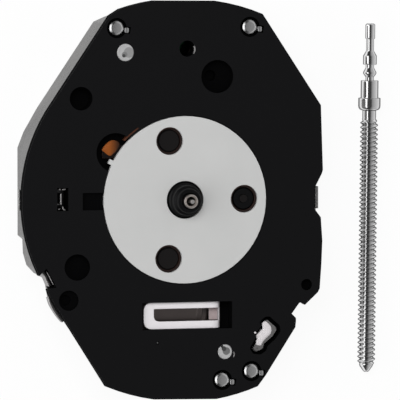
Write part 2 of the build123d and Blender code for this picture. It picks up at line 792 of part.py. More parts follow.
def seconds_wheel():
    """Seconds wheel and pinion on the long post that carries the seconds hand."""
    wheel_high = seconds_wheel_low + wheel_thickness
    pinion_high = third_wheel_low + wheel_thickness + pinion_overlap
    solid = gear(seconds_teeth, fifth_module, seconds_phase, seconds_wheel_low, wheel_high)
    solid += gear(seconds_leaves, third_module, seconds_pinion_phase, wheel_high, pinion_high)
    solid += taper(seconds_foot_radius, seconds_post_radius, bridge_top + pivot_clearance, cannon_top)
    solid += drum(seconds_post_radius, cannon_top, seconds_post_top)
    return solid + drum(pivot_radius, bridge_low + pivot_clearance, pinion_high)


def fifth_wheel():
    """Wheel driven by the rotor, with the pinion that drives the seconds wheel."""
    pinion_high = seconds_wheel_low + wheel_thickness + pinion_overlap
    return wheel_with_pinion(fifth_teeth, rotor_module, fifth_phase, fifth_leaves, fifth_module,
                             fifth_pinion_phase, fifth_wheel_low, pinion_high, fifth_at)


def third_wheel():
    """Wheel driven by the seconds pinion, with the pinion that drives the centre wheel."""
    pinion_high = centre_wheel_low + wheel_thickness + pinion_overlap
    return wheel_with_pinion(third_teeth, third_module, third_phase, third_leaves, centre_module,
                             third_pinion_phase, third_wheel_low, pinion_high, third_at)


def centre_wheel():
    """Centre wheel with the tube that the cannon pinion sits on."""
    wheel = gear(centre_teeth, centre_module, centre_phase, centre_wheel_low,
                 centre_wheel_low + wheel_thickness)
    wheel += drum(centre_tube_radius, centre_wheel_low, centre_tube_top)
    return wheel - hole(centre_tube_bore, centre_wheel_low, centre_tube_top)


def rotor_pinion():
    """Arbor of the rotor with its pinion."""
    arbor = drum(arbor_radius, bridge_top + pivot_clearance, web_low - pivot_clearance, rotor_at)
    arbor += gear(rotor_teeth, rotor_module, rotor_phase, rotor_pinion_low,
                  rotor_pinion_low + rotor_pinion_length,
                  rotor_at)
    return arbor + drum(pivot_radius, bridge_low + pivot_clearance,
                        web_low + pivot_length - pivot_clearance, rotor_at)


def cannon_pinion():
    """Minute hand post with its pinion."""
    teeth = gear(cannon_teeth, motion_module, cannon_phase, motion_wheel_low,
                 motion_wheel_low + cannon_teeth_height)
    body_low = motion_wheel_low + cannon_teeth_height
    post = teeth + taper(cannon_foot_radius, cannon_radius, body_low, hour_seat_top)
    post += drum(cannon_radius, hour_seat_top, cannon_top)
    return post - hole(cannon_bore, motion_wheel_low, cannon_top)


def hour_wheel():
    """Hour wheel with its stepped post."""
    wheel = gear(hour_teeth, hour_module, hour_phase, hour_wheel_low,
                 hour_wheel_low + motion_wheel_thickness)
    wheel += drum(hour_hub_radius, hour_wheel_low, hour_hub_top)
    wheel += drum(hour_step_radius, hour_hub_top, hour_step_top)
    wheel += drum(hour_seat_radius, hour_step_top, hour_seat_top)
    return wheel - hole(hour_bore, hour_wheel_low, hour_seat_top)


def minute_wheel():
    """Minute wheel with the pinion that drives the hour wheel."""
    wheel_high = motion_wheel_low + motion_wheel_thickness
    wheel = gear(minute_teeth, motion_module, minute_phase, motion_wheel_low, wheel_high, minute_at)
    wheel += gear(minute_leaves, hour_module, minute_pinion_phase, wheel_high, minute_pinion_top,
                  minute_at)
    bore = hole(motion_post_radius + post_clearance, motion_wheel_low, minute_pinion_top, minute_at)
    return wheel - bore


def setting_wheel():
    """Idler between the setting pinion and the minute wheel."""
    wheel_high = motion_wheel_low + motion_wheel_thickness
    wheel = gear(setting_teeth, motion_module, setting_phase, motion_wheel_low, wheel_high, setting_at)
    wheel += drum(stake_radius, wheel_high, disc_low, setting_at)
    bore = drum(setting_post_radius + post_clearance, motion_wheel_low - cut_over, plate_top, setting_at)
    return wheel - bore


def motion_cover():
    """White disc with a keyed edge, a centre hole and three windows."""
    disc = drum(disc_radius, disc_low, plate_top) + disc_key(disc_low, plate_top)
    disc -= hole(hour_hub_radius + disc_hole_gap, disc_low, plate_top)
    for angle in disc_window_angles:
        at = polar(disc_window_circle, angle)
        disc -= hole(disc_window_radius, disc_low, plate_top, at)
    return disc


def motion_guard():
    """Thin sheet that keeps the motion work in place, with an ear at 10 o'clock."""
    sheet = drum(guard_radius, guard_low, disc_low)
    ear_at = place(ear_shares)
    ear = drum(ear_radius, guard_low, disc_low, ear_at)
    ear -= block(ear_at[0] - 2 * ear_radius, ear_at[0] + 2 * ear_radius, ear_at[1] - 2 * ear_radius,
                 ear_at[1] - ear_cut, guard_low - cut_over, disc_low + cut_over)
    sheet += ear
    sheet -= hole(hour_hub_radius + guard_hole_gap, guard_low, disc_low)
    for angle in disc_window_angles:
        at = polar(disc_window_circle, angle)
        sheet -= hole(guard_window_radius, guard_low, disc_low, at)
    return sheet


def stator():
    """Magnetic plate with a hole for the rotor and a foot at both ends of the coil."""
    plate = drum(stator_ring_radius, stator_low, stator_top, rotor_at)
    for start, end in zip(stator_path, stator_path[1:]):
        plate += bar(start, end, stator_half_width, stator_low, stator_top)
    for at in (coil_foot, coil_end):
        plate += drum(stator_foot_radius, stator_low, stator_top, at)
        plate -= hole(screw_radius, stator_low, stator_top, at)
    return plate - hole(stator_hole_radius, stator_low, stator_top, rotor_at)


def coil_core():
    """Core of the coil with a foot under each end of the stator."""
    core = bar(coil_foot, coil_end, core_half_width, core_low, stator_low)
    for at in (coil_foot, coil_end):
        core += drum(stator_foot_radius, core_low, stator_low, at)
        core -= hole(screw_radius, core_low, stator_low, at)
    return core


def along_drum(radius, start, end):
    """Cylinder about the coil's axis, between two distances along it."""
    solid = Cylinder(radius, end - start, align=(Align.CENTER, Align.CENTER, Align.MIN))
    return coil_turn * Pos(start, 0, 0) * Rot(0, 90, 0) * solid


def coil_bobbin():
    """Bobbin with two flanges, through which the core passes."""
    body = along_drum(bobbin_radius, winding_start - bobbin_wall, winding_start)
    body += along_drum(bobbin_radius, winding_end, winding_end + bobbin_wall)
    body += along_drum(winding_bore, winding_start, winding_end)
    hole = bar(along_coil(winding_start - stator_lead, 0), along_coil(winding_end + stator_lead, 0),
               core_half_width, core_low, stator_low)
    return body - hole


def coil_winding():
    """Copper winding on the bobbin."""
    return along_drum(winding_radius, winding_start, winding_end) - along_drum(winding_bore,
                                                                               winding_start, winding_end)


def coil_board():
    """Small board under the core that takes the ends of the wire."""
    length = winding_start - bobbin_wall - coil_board_start
    board = Box(length, 2 * coil_board_half_width, coil_board_thickness, align=(Align.MIN, Align.CENTER,
                                                                                Align.MIN))
    return Pos(coil_foot[0], coil_foot[1], core_low - coil_board_thickness) * Rot(0, 0, coil_angle) * (
        Pos(coil_board_start, 0, 0) * board)


def train_bridge():
    """Lower bearing plate of the going train."""
    bridge = bridge_face_solid(bridge_edge, bridge_low, bridge_top)
    for at in ((0, 0), third_at, fifth_at, rotor_at):
        bridge -= hole(bush_radius, bridge_low, bridge_top, at)
    for at_shares in bridge_screw_shares:
        bridge -= hole(screw_radius, bridge_low, bridge_top, place(at_shares))
    return bridge


def bridge_bushes():
    """Four bearings in the bridge."""
    bushes = []
    for at in ((0, 0), third_at, fifth_at, rotor_at):
        bushes.append(ring(bush_radius, pivot_radius + pivot_clearance, bridge_low, bridge_top, at))
    return Compound(children=bushes)


def bridge_screws():
    """Three screws of the bridge."""
    screws = []
    for at_shares in bridge_screw_shares:
        screws.append(screw(place(at_shares), bridge_low - screw_head_height,
                            bridge_thickness + screw_length,
                            screw_radius, screw_head_radius, screw_head_height))
    return Compound(children=screws)


def coil_screws():
    """Two screws that clamp the core to the stator."""
    screws = []
    for at in (coil_foot, coil_end):
        screws.append(screw(at, core_low - screw_head_height, web_top - post_clearance - core_low,
                            screw_radius, screw_head_radius, screw_head_height))
    return Compound(children=screws)


def back_holes(solid, tube_gap):
    """Room for the screw tubes, the battery and its clamp in a flat sheet near the back."""
    for at_shares, radius in zip(screw_tube_shares, screw_tube_radii):
        solid -= drum(radius + tube_gap, -cut_over, plate_base, place(at_shares))
    solid -= drum(battery_radius + battery_clearance, -cut_over, plate_base, battery_at)
    return solid - slab(leg_face(clamp_gap), -cut_over, plate_base)


def circuit_board():
    """Board in the plan of the cover, with room for battery, posts and screw heads."""
    board = slab(inside_cover(cover_sheet + cover_gap + board_inset), board_low, board_top)
    board = back_holes(board, cover_gap)
    for at_shares in bridge_screw_shares:
        board -= hole(screw_head_radius + cover_gap, board_low, board_top, place(at_shares))
    return board


def insulator_sheet():
    """Plastic sheet between the cover and the board."""
    low = cover_sheet + insulator_lift
    return back_holes(slab(inside_cover(insulator_inset), low, low + insulator_thickness), cover_gap)


def ic_chip():
    """Circuit under its dome on the board."""
    at = place(chip_shares)
    chip = Box(chip_size, chip_size, chip_height, align=(Align.CENTER, Align.CENTER, Align.MIN))
    chip = fillet(chip.edges().filter_by(Axis.Z), chip_corner)
    chip = chamfer(chip.faces().sort_by(Axis.Z)[-1].edges(), pad_gap)
    return Pos(at[0], at[1], board_top) * chip


def along_crystal(solid, along, sideways=0):
    """Solid of revolution laid along the crystal's axis."""
    place_at = Pos(crystal_start[0], crystal_start[1], crystal_height) * Rot(0, 0, crystal_angle)
    return place_at * Pos(along, sideways, 0) * Rot(0, 90, 0) * solid


def crystal_can():
    """Can of the quartz crystal."""
    can = Cylinder(crystal_radius, crystal_length, align=(Align.CENTER, Align.CENTER, Align.MIN))
    can = fillet(can.faces().sort_by(Axis.Z)[0].edges(), crystal_end_round)
    return along_crystal(can, 0)


def crystal_leads():
    """Two leads that run from the can down to the board."""
    leads = []
    for side in (-crystal_lead_spread, crystal_lead_spread):
        lead = Cylinder(crystal_lead_radius, crystal_lead_length, align=(Align.CENTER, Align.CENTER,
                                                                         Align.MIN))
        end = polar(side, crystal_angle + 90, crystal_leads_end)
        drop = drum(crystal_lead_radius, board_top, crystal_height + crystal_lead_radius, end)
        leads.append(along_crystal(lead, crystal_length, side) + drop)
    return Compound(children=leads)


def solder_pads():
    """Solder joints on the board."""
    return Compound(children=[drum(pad_radius, board_top, board_top + pad_height,
                                   place(at)) for at in pad_shares])


def battery_can():
    """Plus can of the button cell, open towards the dial."""
    can = drum(battery_radius, battery_low, battery_top - battery_cap_rise, battery_at)
    return can - drum(battery_gasket_radius, battery_low + battery_rim_depth, battery_top, battery_at)


def battery_gasket():
    """Sealing ring between can and cap."""
    return ring(battery_gasket_radius, battery_cap_radius, battery_low + battery_rim_depth,
                battery_top - battery_cap_rise + battery_gasket_rise, battery_at)


def battery_cap():
    """Minus cap of the button cell."""
    step = battery_top - battery_cap_step / 2
    cap = drum(battery_cap_radius, battery_low + battery_rim_depth, step, battery_at)
    return cap + drum(battery_cap_radius - battery_cap_step, step, battery_top, battery_at)


def minus_contact():
    """Slotted leaf over the battery, with a leg down to its cap and a tail held in the plate."""
    left, middle_y = place(contact_left_shares)
    right = left + contact_length
    low = contact_top - contact_sheet
    leaf = Rectangle(contact_length, contact_width - 2 * contact_side_gap)
    leaf = Pos(left + contact_length / 2, middle_y) * fillet(leaf.vertices().group_by(Axis.X)[0],
                                                             contact_corner)
    slot = Pos(left + contact_length / 2, middle_y) * Rectangle(contact_slot_length, contact_slot_width)
    contact = slab(leaf - slot, low, contact_top)
    half_foot = contact_slot_width / 2
    contact += block(right - contact_sheet, right, middle_y - half_foot, middle_y + half_foot,
                     battery_top, contact_top)
    contact += block(right - contact_foot_length, right, middle_y - half_foot, middle_y + half_foot,
                     battery_top, battery_top + contact_sheet)
    return contact + block(left - contact_tail, left + contact_corner, middle_y - half_foot,
                           middle_y + half_foot,
                           low, contact_top)


def battery_clamp():
    """Plus contact: a strap under the battery, a leg through the plate and a hook at its top."""
    clamp = bar(clamp_inner_at, clamp_leg_at, clamp_half_width, 0, cover_sheet)
    clamp += slab(leg_face(), 0, clamp_hook_top)
    return clamp + slab(hook_face(), clamp_hook_top - clamp_hook_thickness, clamp_hook_top)


def countersunk(at):
    """Head and shank of a countersunk screw that is flush with the back."""
    head = Cone(countersink_radius, cover_screw_radius, cover_sheet, align=(Align.CENTER, Align.CENTER,
                                                                            Align.MIN))
    return Pos(at[0], at[1], 0) * head + drum(cover_screw_radius, cover_sheet, cover_screw_length, at)


def cover_screws():
    """Two countersunk screws that hold the cover."""
    screws = []
    for at_shares in screw_tube_shares:
        at = place(at_shares)
        half_slot = screw_slot_width / 2
        slot = block(at[0] - countersink_radius, at[0] + countersink_radius, at[1] - half_slot,
                     at[1] + half_slot,
                     -cut_over, screw_slot_depth)
        screws.append(countersunk(at) - slot)
    return Compound(children=screws)


def plain_posts():
    """Screw tubes that take the cover screws."""
    tubes = []
    for at_shares, radius in zip(screw_tube_shares, screw_tube_radii):
        at = place(at_shares)
        tube = drum(radius, cover_sheet, plate_top - post_sink, at)
        tubes.append(tube - drum(cover_screw_radius, cover_sheet - cut_over, cover_screw_length, at))
    return Compound(children=tubes)


def back_cover():
    """Stamped tray with a battery opening, two screw holes, a side slot and the stem tab at 3 o'clock."""
    tray = slab(cover_face, 0, cover_wall_top)
    tray = chamfer(tray.faces().sort_by(Axis.Z)[0].edges(), cover_bend / 2)
    tray -= slab(inside_cover(cover_sheet), cover_sheet, cover_wall_top + cut_over)
    right = casing_radius * max(x_share for x_share, _, _ in cover_outline_shares)
    tray += block(right - cover_sheet, right, -cover_tab_half, cover_tab_half, cover_sheet, cover_tab_top)
    tray -= stem_axis_drum(cover_tab_hole, right - cover_sheet - cut_over, right + cut_over)
    left = casing_radius * min(x_share for x_share, _, _ in cover_outline_shares)
    slot_start, slot_end = place(cover_slot_shares)
    tray -= block(left - cut_over, left + cover_sheet + cut_over, slot_start, slot_end,
                  cover_slot_low, cover_slot_low + cover_slot_height)
    tray -= drum(battery_opening, -cut_over, plate_base, battery_at)
    tray -= bar(clamp_inner_at, clamp_leg_at, clamp_half_width + clamp_gap, -cut_over, plate_base)
    for at_shares in screw_tube_shares:
        tray -= countersunk(place(at_shares))
    return tray


def clutch_wheel():
    """Setting pinion with crown teeth, a groove for the yoke and a square bore."""
    pinion = stem_axis_drum(setting_crown_radius, setting_crown_low, barrel_low)
    pinion += stem_axis_drum(setting_barrel_radius, barrel_low, barrel_end)
    half_groove = setting_groove_width / 2
    groove = stem_axis_drum(setting_crown_radius, groove_middle - half_groove,
                            groove_middle + half_groove)
    pinion -= groove - stem_axis_drum(setting_barrel_radius - setting_groove_depth, setting_crown_low,
                                      barrel_end)
    bore = Box(2 * (barrel_end - setting_crown_low), setting_bore_flat, setting_bore_flat)
    pinion -= Pos(barrel_low, 0, stem_height) * bore
    for index in range(setting_crown_teeth):
        gap = Box(setting_crown_tooth_depth, setting_crown_radius, setting_crown_tooth_width,
                  align=(Align.MIN, Align.MIN, Align.CENTER))
        turn = Rot(360 * index / setting_crown_teeth, 0, 0)
        pinion -= Pos(setting_crown_low, 0, stem_height) * turn * Pos(0, setting_barrel_radius, 0) * gap
    return pinion


def setting_lever():
    """Lever whose pin stands in the groove of the stem."""
    lever = bar(lever_pivot, lever_pin_at, lever_half_width, lever_low, lever_top)
    lever += drum(lever_pin_radius, lever_top, lever_pin_top, lever_pin_at)
    return lever - hole(lever_post_radius + post_clearance, lever_low, lever_top, lever_pivot)


def yoke():
    """Lever whose finger stands in the groove of the setting pinion."""
    end = (groove_middle, 0)
    lever = bar(yoke_pivot, end, yoke_half_width, lever_low, lever_top)
    lever += drum(lever_pin_radius, lever_top, yoke_finger_top, end)
    return lever - hole(lever_post_radius + post_clearance, lever_low, lever_top, yoke_pivot)


def reset_lever():
    """Lever that swings towards the rim of the seconds wheel while the hands are set."""
    lever = bar(reset_pivot, reset_tip, reset_half_width, lever_low, lever_top)
    lever += drum(reset_head_radius, lever_low, lever_top, reset_pivot)
    return lever - hole(lever_post_radius + post_clearance, lever_low, lever_top, reset_pivot)


def lever_plate():
    """Sheet that holds the levers on their posts."""
    high = detent_low + detent_sheet
    sheet = drum(boss_radius, detent_low, high, detent_screw_at)
    for at in (lever_pivot, yoke_pivot, reset_pivot):
        sheet += bar(detent_screw_at, at, detent_half_width, detent_low, high)
    return sheet - hole(screw_radius, detent_low, high, detent_screw_at)


def lever_screw():
    """Screw of the lever sheet."""
    return screw(detent_screw_at, detent_low - screw_head_height, screw_length, screw_radius,
                 screw_head_radius,
                 screw_head_height)


def centre_bush():
    """Bush in the web that guides the centre tube."""
    top = motion_wheel_low - post_clearance
    return ring(centre_bush_radius, centre_tube_radius + post_clearance, top - centre_bush_length, top)


def stem_profile():
    """Half outline of the stem: distance from the tip and radius, with a ring for each thread turn."""
    points = [(0, 0), (0, stem_tip_radius - stem_tip_chamfer), (stem_tip_chamfer, stem_tip_radius)]
    reach = stem_tip_length
    points += [(reach, stem_tip_radius), (reach, stem_neck_radius)]
    reach += stem_neck_length
    points += [(reach, stem_neck_radius)]
    reach += stem_cone_length
    points += [(reach, stem_shoulder_radius)]
    reach += stem_shoulder_length
    points += [(reach, stem_shoulder_radius), (reach, stem_groove_radius)]
    reach += stem_groove_length
    points += [(reach, stem_groove_radius), (reach, stem_bead_end_radius)]
    points += [(reach + stem_bead_length / 2, stem_bead_radius)]
    reach += stem_bead_length
    points += [(reach, stem_bead_end_radius)]
    reach += stem_groove_length
    points += [(reach, stem_bead_end_radius), (reach, stem_body_radius)]
    reach += stem_body_length
    points += [(reach, stem_body_radius), (reach, stem_collar_radius)]
    reach += stem_collar_length
    points += [(reach - stem_collar_round, stem_collar_radius), (reach,
                                                                 stem_collar_radius - stem_collar_round)]
    points += [(reach, stem_waist_radius)]
    reach += stem_waist_length
    points += [(reach, stem_waist_radius), (reach, thread_root_radius)]
    flank = (thread_pitch - 2 * thread_crest) / 2
    for _ in range(int(thread_length / thread_pitch)):
        points += [(reach + thread_crest, thread_root_radius), (reach + thread_crest + flank,
                                                                thread_radius)]
        points += [(reach + 2 * thread_crest + flank, thread_radius), (reach + thread_pitch,
                                                                       thread_root_radius)]
        reach += thread_pitch
    points += [(reach + stem_point_length, stem_point_radius), (reach + stem_point_length, 0)]
    return points, reach


def stem():
    """Setting stem, lying beside the movement on its collar and on the end of its thread."""
    points, thread_end = stem_profile()
    face = make_face(Polyline(*points, close=True))
    solid = revolve(face, Axis.X)
    collar_at = thread_start - stem_waist_length - stem_collar_length
    slope = math.degrees(math.asin((stem_collar_radius - thread_radius) / (thread_end - collar_at)))
    lift = stem_collar_radius + collar_at * math.sin(math.radians(slope))
    across = Pos(stem_tip_at[0], stem_tip_at[1], lift) * Rot(0, 0, -90 - stem_lean)
    return across * Rot(0, slope, 0) * solid


nodes = {
    "main_plate": main_plate(),
    "motion_cover": motion_cover(),
    "motion_guard": motion_guard(),
    "hour_wheel": hour_wheel(),
    "cannon_pinion": cannon_pinion(),
    "minute_wheel": minute_wheel(),
    "setting_wheel": setting_wheel(),
    "centre_wheel": centre_wheel(),
    "third_wheel": third_wheel(),
    "seconds_wheel": seconds_wheel(),
    "fifth_wheel": fifth_wheel(),
    "rotor_magnet": ring(magnet_radius, arbor_radius, magnet_low, magnet_low + magnet_height, rotor_at),
    "rotor_pinion": rotor_pinion(),
    "stator": stator(),
    "coil_core": coil_core(),
    "coil_bobbin": coil_bobbin(),
    "coil_winding": coil_winding(),
    "coil_board": coil_board(),
    "train_bridge": train_bridge(),
    "bridge_bushes": bridge_bushes(),
    "bridge_screws": bridge_screws(),
    "coil_screws": coil_screws(),
    "circuit_board": circuit_board(),
    "ic_chip": ic_chip(),
    "solder_pads": solder_pads(),
    "crystal_can": crystal_can(),
    "crystal_leads": crystal_leads(),
    "battery_can": battery_can(),
    "battery_gasket": battery_gasket(),
    "battery_cap": battery_cap(),
    "minus_contact": minus_contact(),
    "battery_clamp": battery_clamp(),
    "insulator_sheet": insulator_sheet(),
    "back_cover": back_cover(),
    "cover_screws": cover_screws(),
    "keyed_posts": Compound(children=[keyed_post(place(at)) for at in keyed_post_shares]),
    "plain_posts": plain_posts(),
    "clutch_wheel": clutch_wheel(),
    "setting_lever": setting_lever(),
    "yoke": yoke(),
    "reset_lever": reset_lever(),
    "lever_plate": lever_plate(),
    "lever_screw": lever_screw(),
    "centre_bush": centre_bush(),
    "stem": stem(),
}

os.makedirs("parts", exist_ok=True)
for name, shape in nodes.items():
    export_step(shape, f"parts/{name}.step")
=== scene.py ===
import bmesh
import bpy
import json
import math
import numpy as np
from mathutils import Matrix, Vector


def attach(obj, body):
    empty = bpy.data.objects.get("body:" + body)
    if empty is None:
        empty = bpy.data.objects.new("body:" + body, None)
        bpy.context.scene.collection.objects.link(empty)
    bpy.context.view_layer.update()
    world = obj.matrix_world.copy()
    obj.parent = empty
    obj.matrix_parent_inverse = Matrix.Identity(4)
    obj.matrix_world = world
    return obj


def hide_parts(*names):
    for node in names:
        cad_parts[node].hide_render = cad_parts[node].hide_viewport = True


# The dressed watch movement. Shapes below are worked out in millimetres in the part's own frame:
# +Z to the dial, +X to the stem, +Y to 12 o'clock, the origin on the hand axis in the back face.
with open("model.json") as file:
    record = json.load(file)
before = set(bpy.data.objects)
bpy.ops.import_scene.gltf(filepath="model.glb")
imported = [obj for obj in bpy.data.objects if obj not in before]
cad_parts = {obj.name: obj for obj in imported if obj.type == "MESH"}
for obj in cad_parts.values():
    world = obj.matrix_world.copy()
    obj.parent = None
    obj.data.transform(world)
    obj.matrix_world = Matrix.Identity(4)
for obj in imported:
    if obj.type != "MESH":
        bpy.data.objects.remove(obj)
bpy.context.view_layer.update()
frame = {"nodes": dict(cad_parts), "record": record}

millimetre = 0.001

# Camera: a long lens, leaning a little to 9 o'clock and to 12 o'clock
view_direction = (-0.2584, 0.0714, 0.9634)
view_right = (0.966, 0.0, 0.259)
view_target = (0.78, -0.02, 3.0)
view_distance = 400.0
picture_width = 19.8
sensor_width = 36.0
camera_clip = (0.01, 20.0)

# Light tent: angle from the vertical towards 3 o'clock and half of the level there
tent_ramp = ((-110.0, 0.95), (-43.0, 0.95), (-37.0, 0.025), (5.0, 0.025), (14.0, 0.14), (40.0, 0.23),
             (90.0, 0.36), (130.0, 0.30))
tent_side = (0.02, 0.24)
tent_side_width = (-0.10, 0.45)
tent_side_start = 0.42
tent_side_end = 0.66
tent_seen = (0.5, 0.5, 0.5)
tent_strength = 2.0

# Soft lamp above the part, in metres and watts
lamp_place = (-0.05, 0.05, 0.16)
lamp_aim = (0, 0, 0.002)
lamp_size = 0.10
lamp_power = 0.21

# Floor
floor_half_width = 600.0
floor_gap = 0.01
floor_colour = (0.9, 0.9, 0.9, 1)
floor_roughness = 0.9
floor_specular = 0.1
floor_glow_share = 0.93

# Grids and meshes
corner_steps = 4
largest_corner_share = 0.45
turn_columns = 64
head_columns = 48
lug_columns = 40
pin_columns = 24
line_points = 7
side_steps = 20
merge_distance = 0.0005
sharp_angle = 35.0
stem_sharp_angle = 50.0
sheet_rounding = 0.02
pin_rounding = 0.01
dome_shares = (0.0, 0.5, 1.0, 1.0, 0.97, 0.92, 0.84, 0.72, 0.55, 0.35, 0.15, 0.0)
dome_wall_rows = 3
dome_power = 4

# Surfaces
matt_roughness = 0.95
bevel_samples = 6
edge_mask_gain = 5.0
broad_grain_share = 0.03
broad_grain_weight = 0.4
dust_scale = 3200.0
dust_size = 0.07
dust_strength = 0.35
dust_colour = (0.35, 0.34, 0.33)
grazing_start = 0.40
grazing_end = 0.60
bump_strength = 0.35
bump_distance = 0.00002

# Hand posts
hour_profile = ((0.39, 2.46), (1.40, 2.46), (1.40, 2.58), (0.85, 2.60), (0.85, 3.02), (0.80, 3.08),
                (0.76, 3.10), (0.74, 3.56), (0.62, 3.61), (0.60, 3.86), (0.56, 3.90), (0.40, 3.90),
                (0.39, 3.84))
cannon_profile = ((0.21, 2.27), (0.44, 2.27), (0.44, 2.42), (0.37, 2.43), (0.35, 3.90), (0.35, 4.18),
                  (0.33, 4.20), (0.26, 4.20), (0.21, 4.13))
post_rounding = 0.03
hour_bore = 1.39
hour_wheel_heights = (2.46, 2.58)
cannon_bore = 0.40
cannon_wheel_heights = (2.27, 2.41)

# Gears of the motion work
motion_module = 0.090
hour_module = 0.0864
cannon_teeth = 12
hour_teeth = 40
tooth_height_share = 1.0
root_depth_share = 1.25
tooth_root_share = 0.31
tooth_tip_share = 0.12
points_per_tooth = 12

# Stem, from its tip: distance and radius
stem_profile = ((0.0, 0.0), (0.0, 0.185), (0.06, 0.245), (0.735, 0.245), (0.757, 0.225), (0.765, 0.195),
                (1.345, 0.195), (1.37, 0.20), (1.585, 0.33), (1.61, 0.345), (2.03, 0.345), (2.05, 0.325),
                (2.052, 0.21), (2.20, 0.21), (2.22, 0.217), (2.41, 0.322), (2.44, 0.335), (2.495, 0.335),
                (2.525, 0.322), (2.67, 0.217), (2.69, 0.21), (2.845, 0.21), (2.85, 0.43), (2.87, 0.445),
                (3.70, 0.445), (3.72, 0.455), (3.722, 0.54), (3.74, 0.56), (4.12, 0.56), (4.22, 0.545),
                (4.30, 0.49), (4.34, 0.40), (4.354, 0.345), (4.70, 0.345), (4.726, 0.335))
thread_start = 4.726
thread_turns = 53
thread_pitch = 0.235
thread_root = 0.335
thread_crest = 0.449
thread_rows = 9
thread_wave_gain = 1.35
thread_wave_drop = 0.12
stem_row_length = 0.06
stem_point = ((0.0, 0.335), (0.05, 0.31), (0.24, 0.17), (0.305, 0.11), (0.32, 0.0))
stem_columns = 48

# Posts in the plate
keyed_post_places = ((-3.483, 8.552), (3.323, 8.527), (3.413, -8.587), (1.910, -8.995))
keyed_post_radius = 0.37
keyed_post_low = 2.53
keyed_post_top = 2.99
head_flat_radius = 0.255
head_slope_height = 0.07
head_rounding = 0.02
lug_offset = (0.53, -0.115)
lug_half_sizes = (0.13, 0.18)
lug_squareness = 3.5
lug_drop = 0.04
lug_edge_height = 0.06
lug_flat_share = 0.7
lug_rounding = 0.03
tube_places = ((-3.040, 7.343, 0.44), (2.050, -7.592, 0.375))
tube_low = 0.16
tube_top = 2.985
tube_dimple_share = 0.62
tube_chamfer = 0.03
tube_dimple_depth = 0.02
tube_bore = 0.24
tube_bore_top = 1.45

# Small pin that ends in the plate near the leaf
rest_pin_place = (-1.403, -7.074)
rest_pin_radius = 0.062
rest_pin_low = 2.31
rest_pin_top = 2.93
rest_pin_chamfer = 0.02

# Slotted leaf of the minus contact
leaf_left = -2.065
leaf_right = 1.90
leaf_middle_y = -5.75
leaf_half_width = 0.665
leaf_slot_left = -1.545
leaf_slot_right = 1.85
leaf_slot_half_widths = (0.285, 0.34)
leaf_corners = (0.46, 0.05, 0.05, 0.46)
leaf_slot_corners = (0.33, 0.05, 0.05, 0.05)
leaf_thickness = 0.08
leaf_top = 2.80
leaf_bend_start = 1.52
leaf_bend_radius = 0.34
leaf_bend_angle = 1.25
leaf_edge = 0.02
leaf_corner_steps = 10
leg_inset = 0.05
leg_lift = 0.02
leg_top_drop = 0.22
leaf_foot_left = 1.40
leaf_foot_step = 0.2
leaf_foot_gap = 0.002
battery_top = 2.25

# Spring clip in the notch at 7 to 8 o'clock
clip_outer = ((-7.03, -3.57), (-6.77, -4.17))
clip_inner = ((-7.005, -3.45), (-6.685, -4.07))
clip_low = 1.75
clip_inner_low = 2.84
clip_outer_top = 2.48
clip_inner_top = 2.90
clip_outer_thickness = 0.13
clip_inner_thickness = 0.055

# Leaf in the slot at 9 o'clock, on the end of the coil core
slot_leaf_lines = (((-6.323, 0.42), (-6.323, -0.12)), ((-6.43, 0.627), (-6.345, 0.627)),
                   ((-6.25, 0.62), (-6.09, 0.635)), ((-6.46, -0.36), (-6.38, -0.335)),
                   ((-6.245, -0.22), (-6.20, -0.36)), ((-6.20, -0.37), (-6.11, -0.39)))
slot_leaf_low = 1.90
slot_leaf_top = 2.97
slot_leaf_thickness = 0.07
slot_leaf_rounding = 0.015

# Bright strip on the rim of the dial-foot hole, a painted glint, and the bow beside the lower tube
foot_hole_glint_line = ((0.46, 7.62), (0.505, 7.53), (0.51, 7.42), (0.48, 7.32), (0.42, 7.24))
tube_bow_line = ((2.475, -7.60), (2.52, -7.68), (2.525, -7.77), (2.47, -7.87))
small_bow_low = 2.70
small_bow_top = 3.003
small_bow_thickness = 0.075
small_bow_corners = 0.05

# Lip of the cover beside the plate at 7 to 8 o'clock, and the dark seat of the clip
cover_lip_line = ((-6.775, -4.73), (-6.68, -5.07), (-6.48, -5.41), (-6.27, -5.71), (-6.07, -5.93))
cover_lip_low = 2.05
cover_lip_top = 2.46
cover_lip_thickness = 0.20
cover_lip_corners = 0.2
cover_lip_rounding = 0.04
clip_seat_line = ((-6.97, -3.34), (-6.60, -4.27))
clip_seat_low = 1.80
clip_seat_top = 2.30
clip_seat_thickness = 0.34
clip_wall_overlap = 0.005
clip_wall_margin = 0.01

# Hooked end of the battery clamp
hook_outline = ((4.079, -6.124), (4.219, -6.151), (4.334, -6.257), (4.449, -6.387), (4.482, -6.563),
                (4.449, -6.753), (4.285, -6.908), (4.121, -7.063), (4.006, -7.22), (3.94, -7.345),
                (3.79, -7.33), (3.644, -7.259), (3.71, -7.181), (3.677, -7.101), (3.751, -7.007),
                (3.694, -6.926), (3.685, -6.839), (3.808, -6.706), (3.923, -6.582), (4.063, -6.466),
                (4.088, -6.403), (4.022, -6.33), (3.976, -6.273))
hook_end_outline = ((3.743, -7.256), (4.006, -7.325), (3.99, -7.436), (3.891, -7.561), (3.776, -7.63),
                    (3.645, -7.651), (3.513, -7.561), (3.489, -7.472), (3.579, -7.371))
hook_low = 2.86
hook_rise = 0.07
hook_wall = 0.05
hook_rounding = 0.06
hook_end_low = 2.83
hook_end_rise = 0.03
hook_end_rounding = 0.08
hook_dot = (3.600, -6.677)
hook_dot_radius = 0.06
hook_dot_top = 3.02
hook_dot_chamfer = 0.03

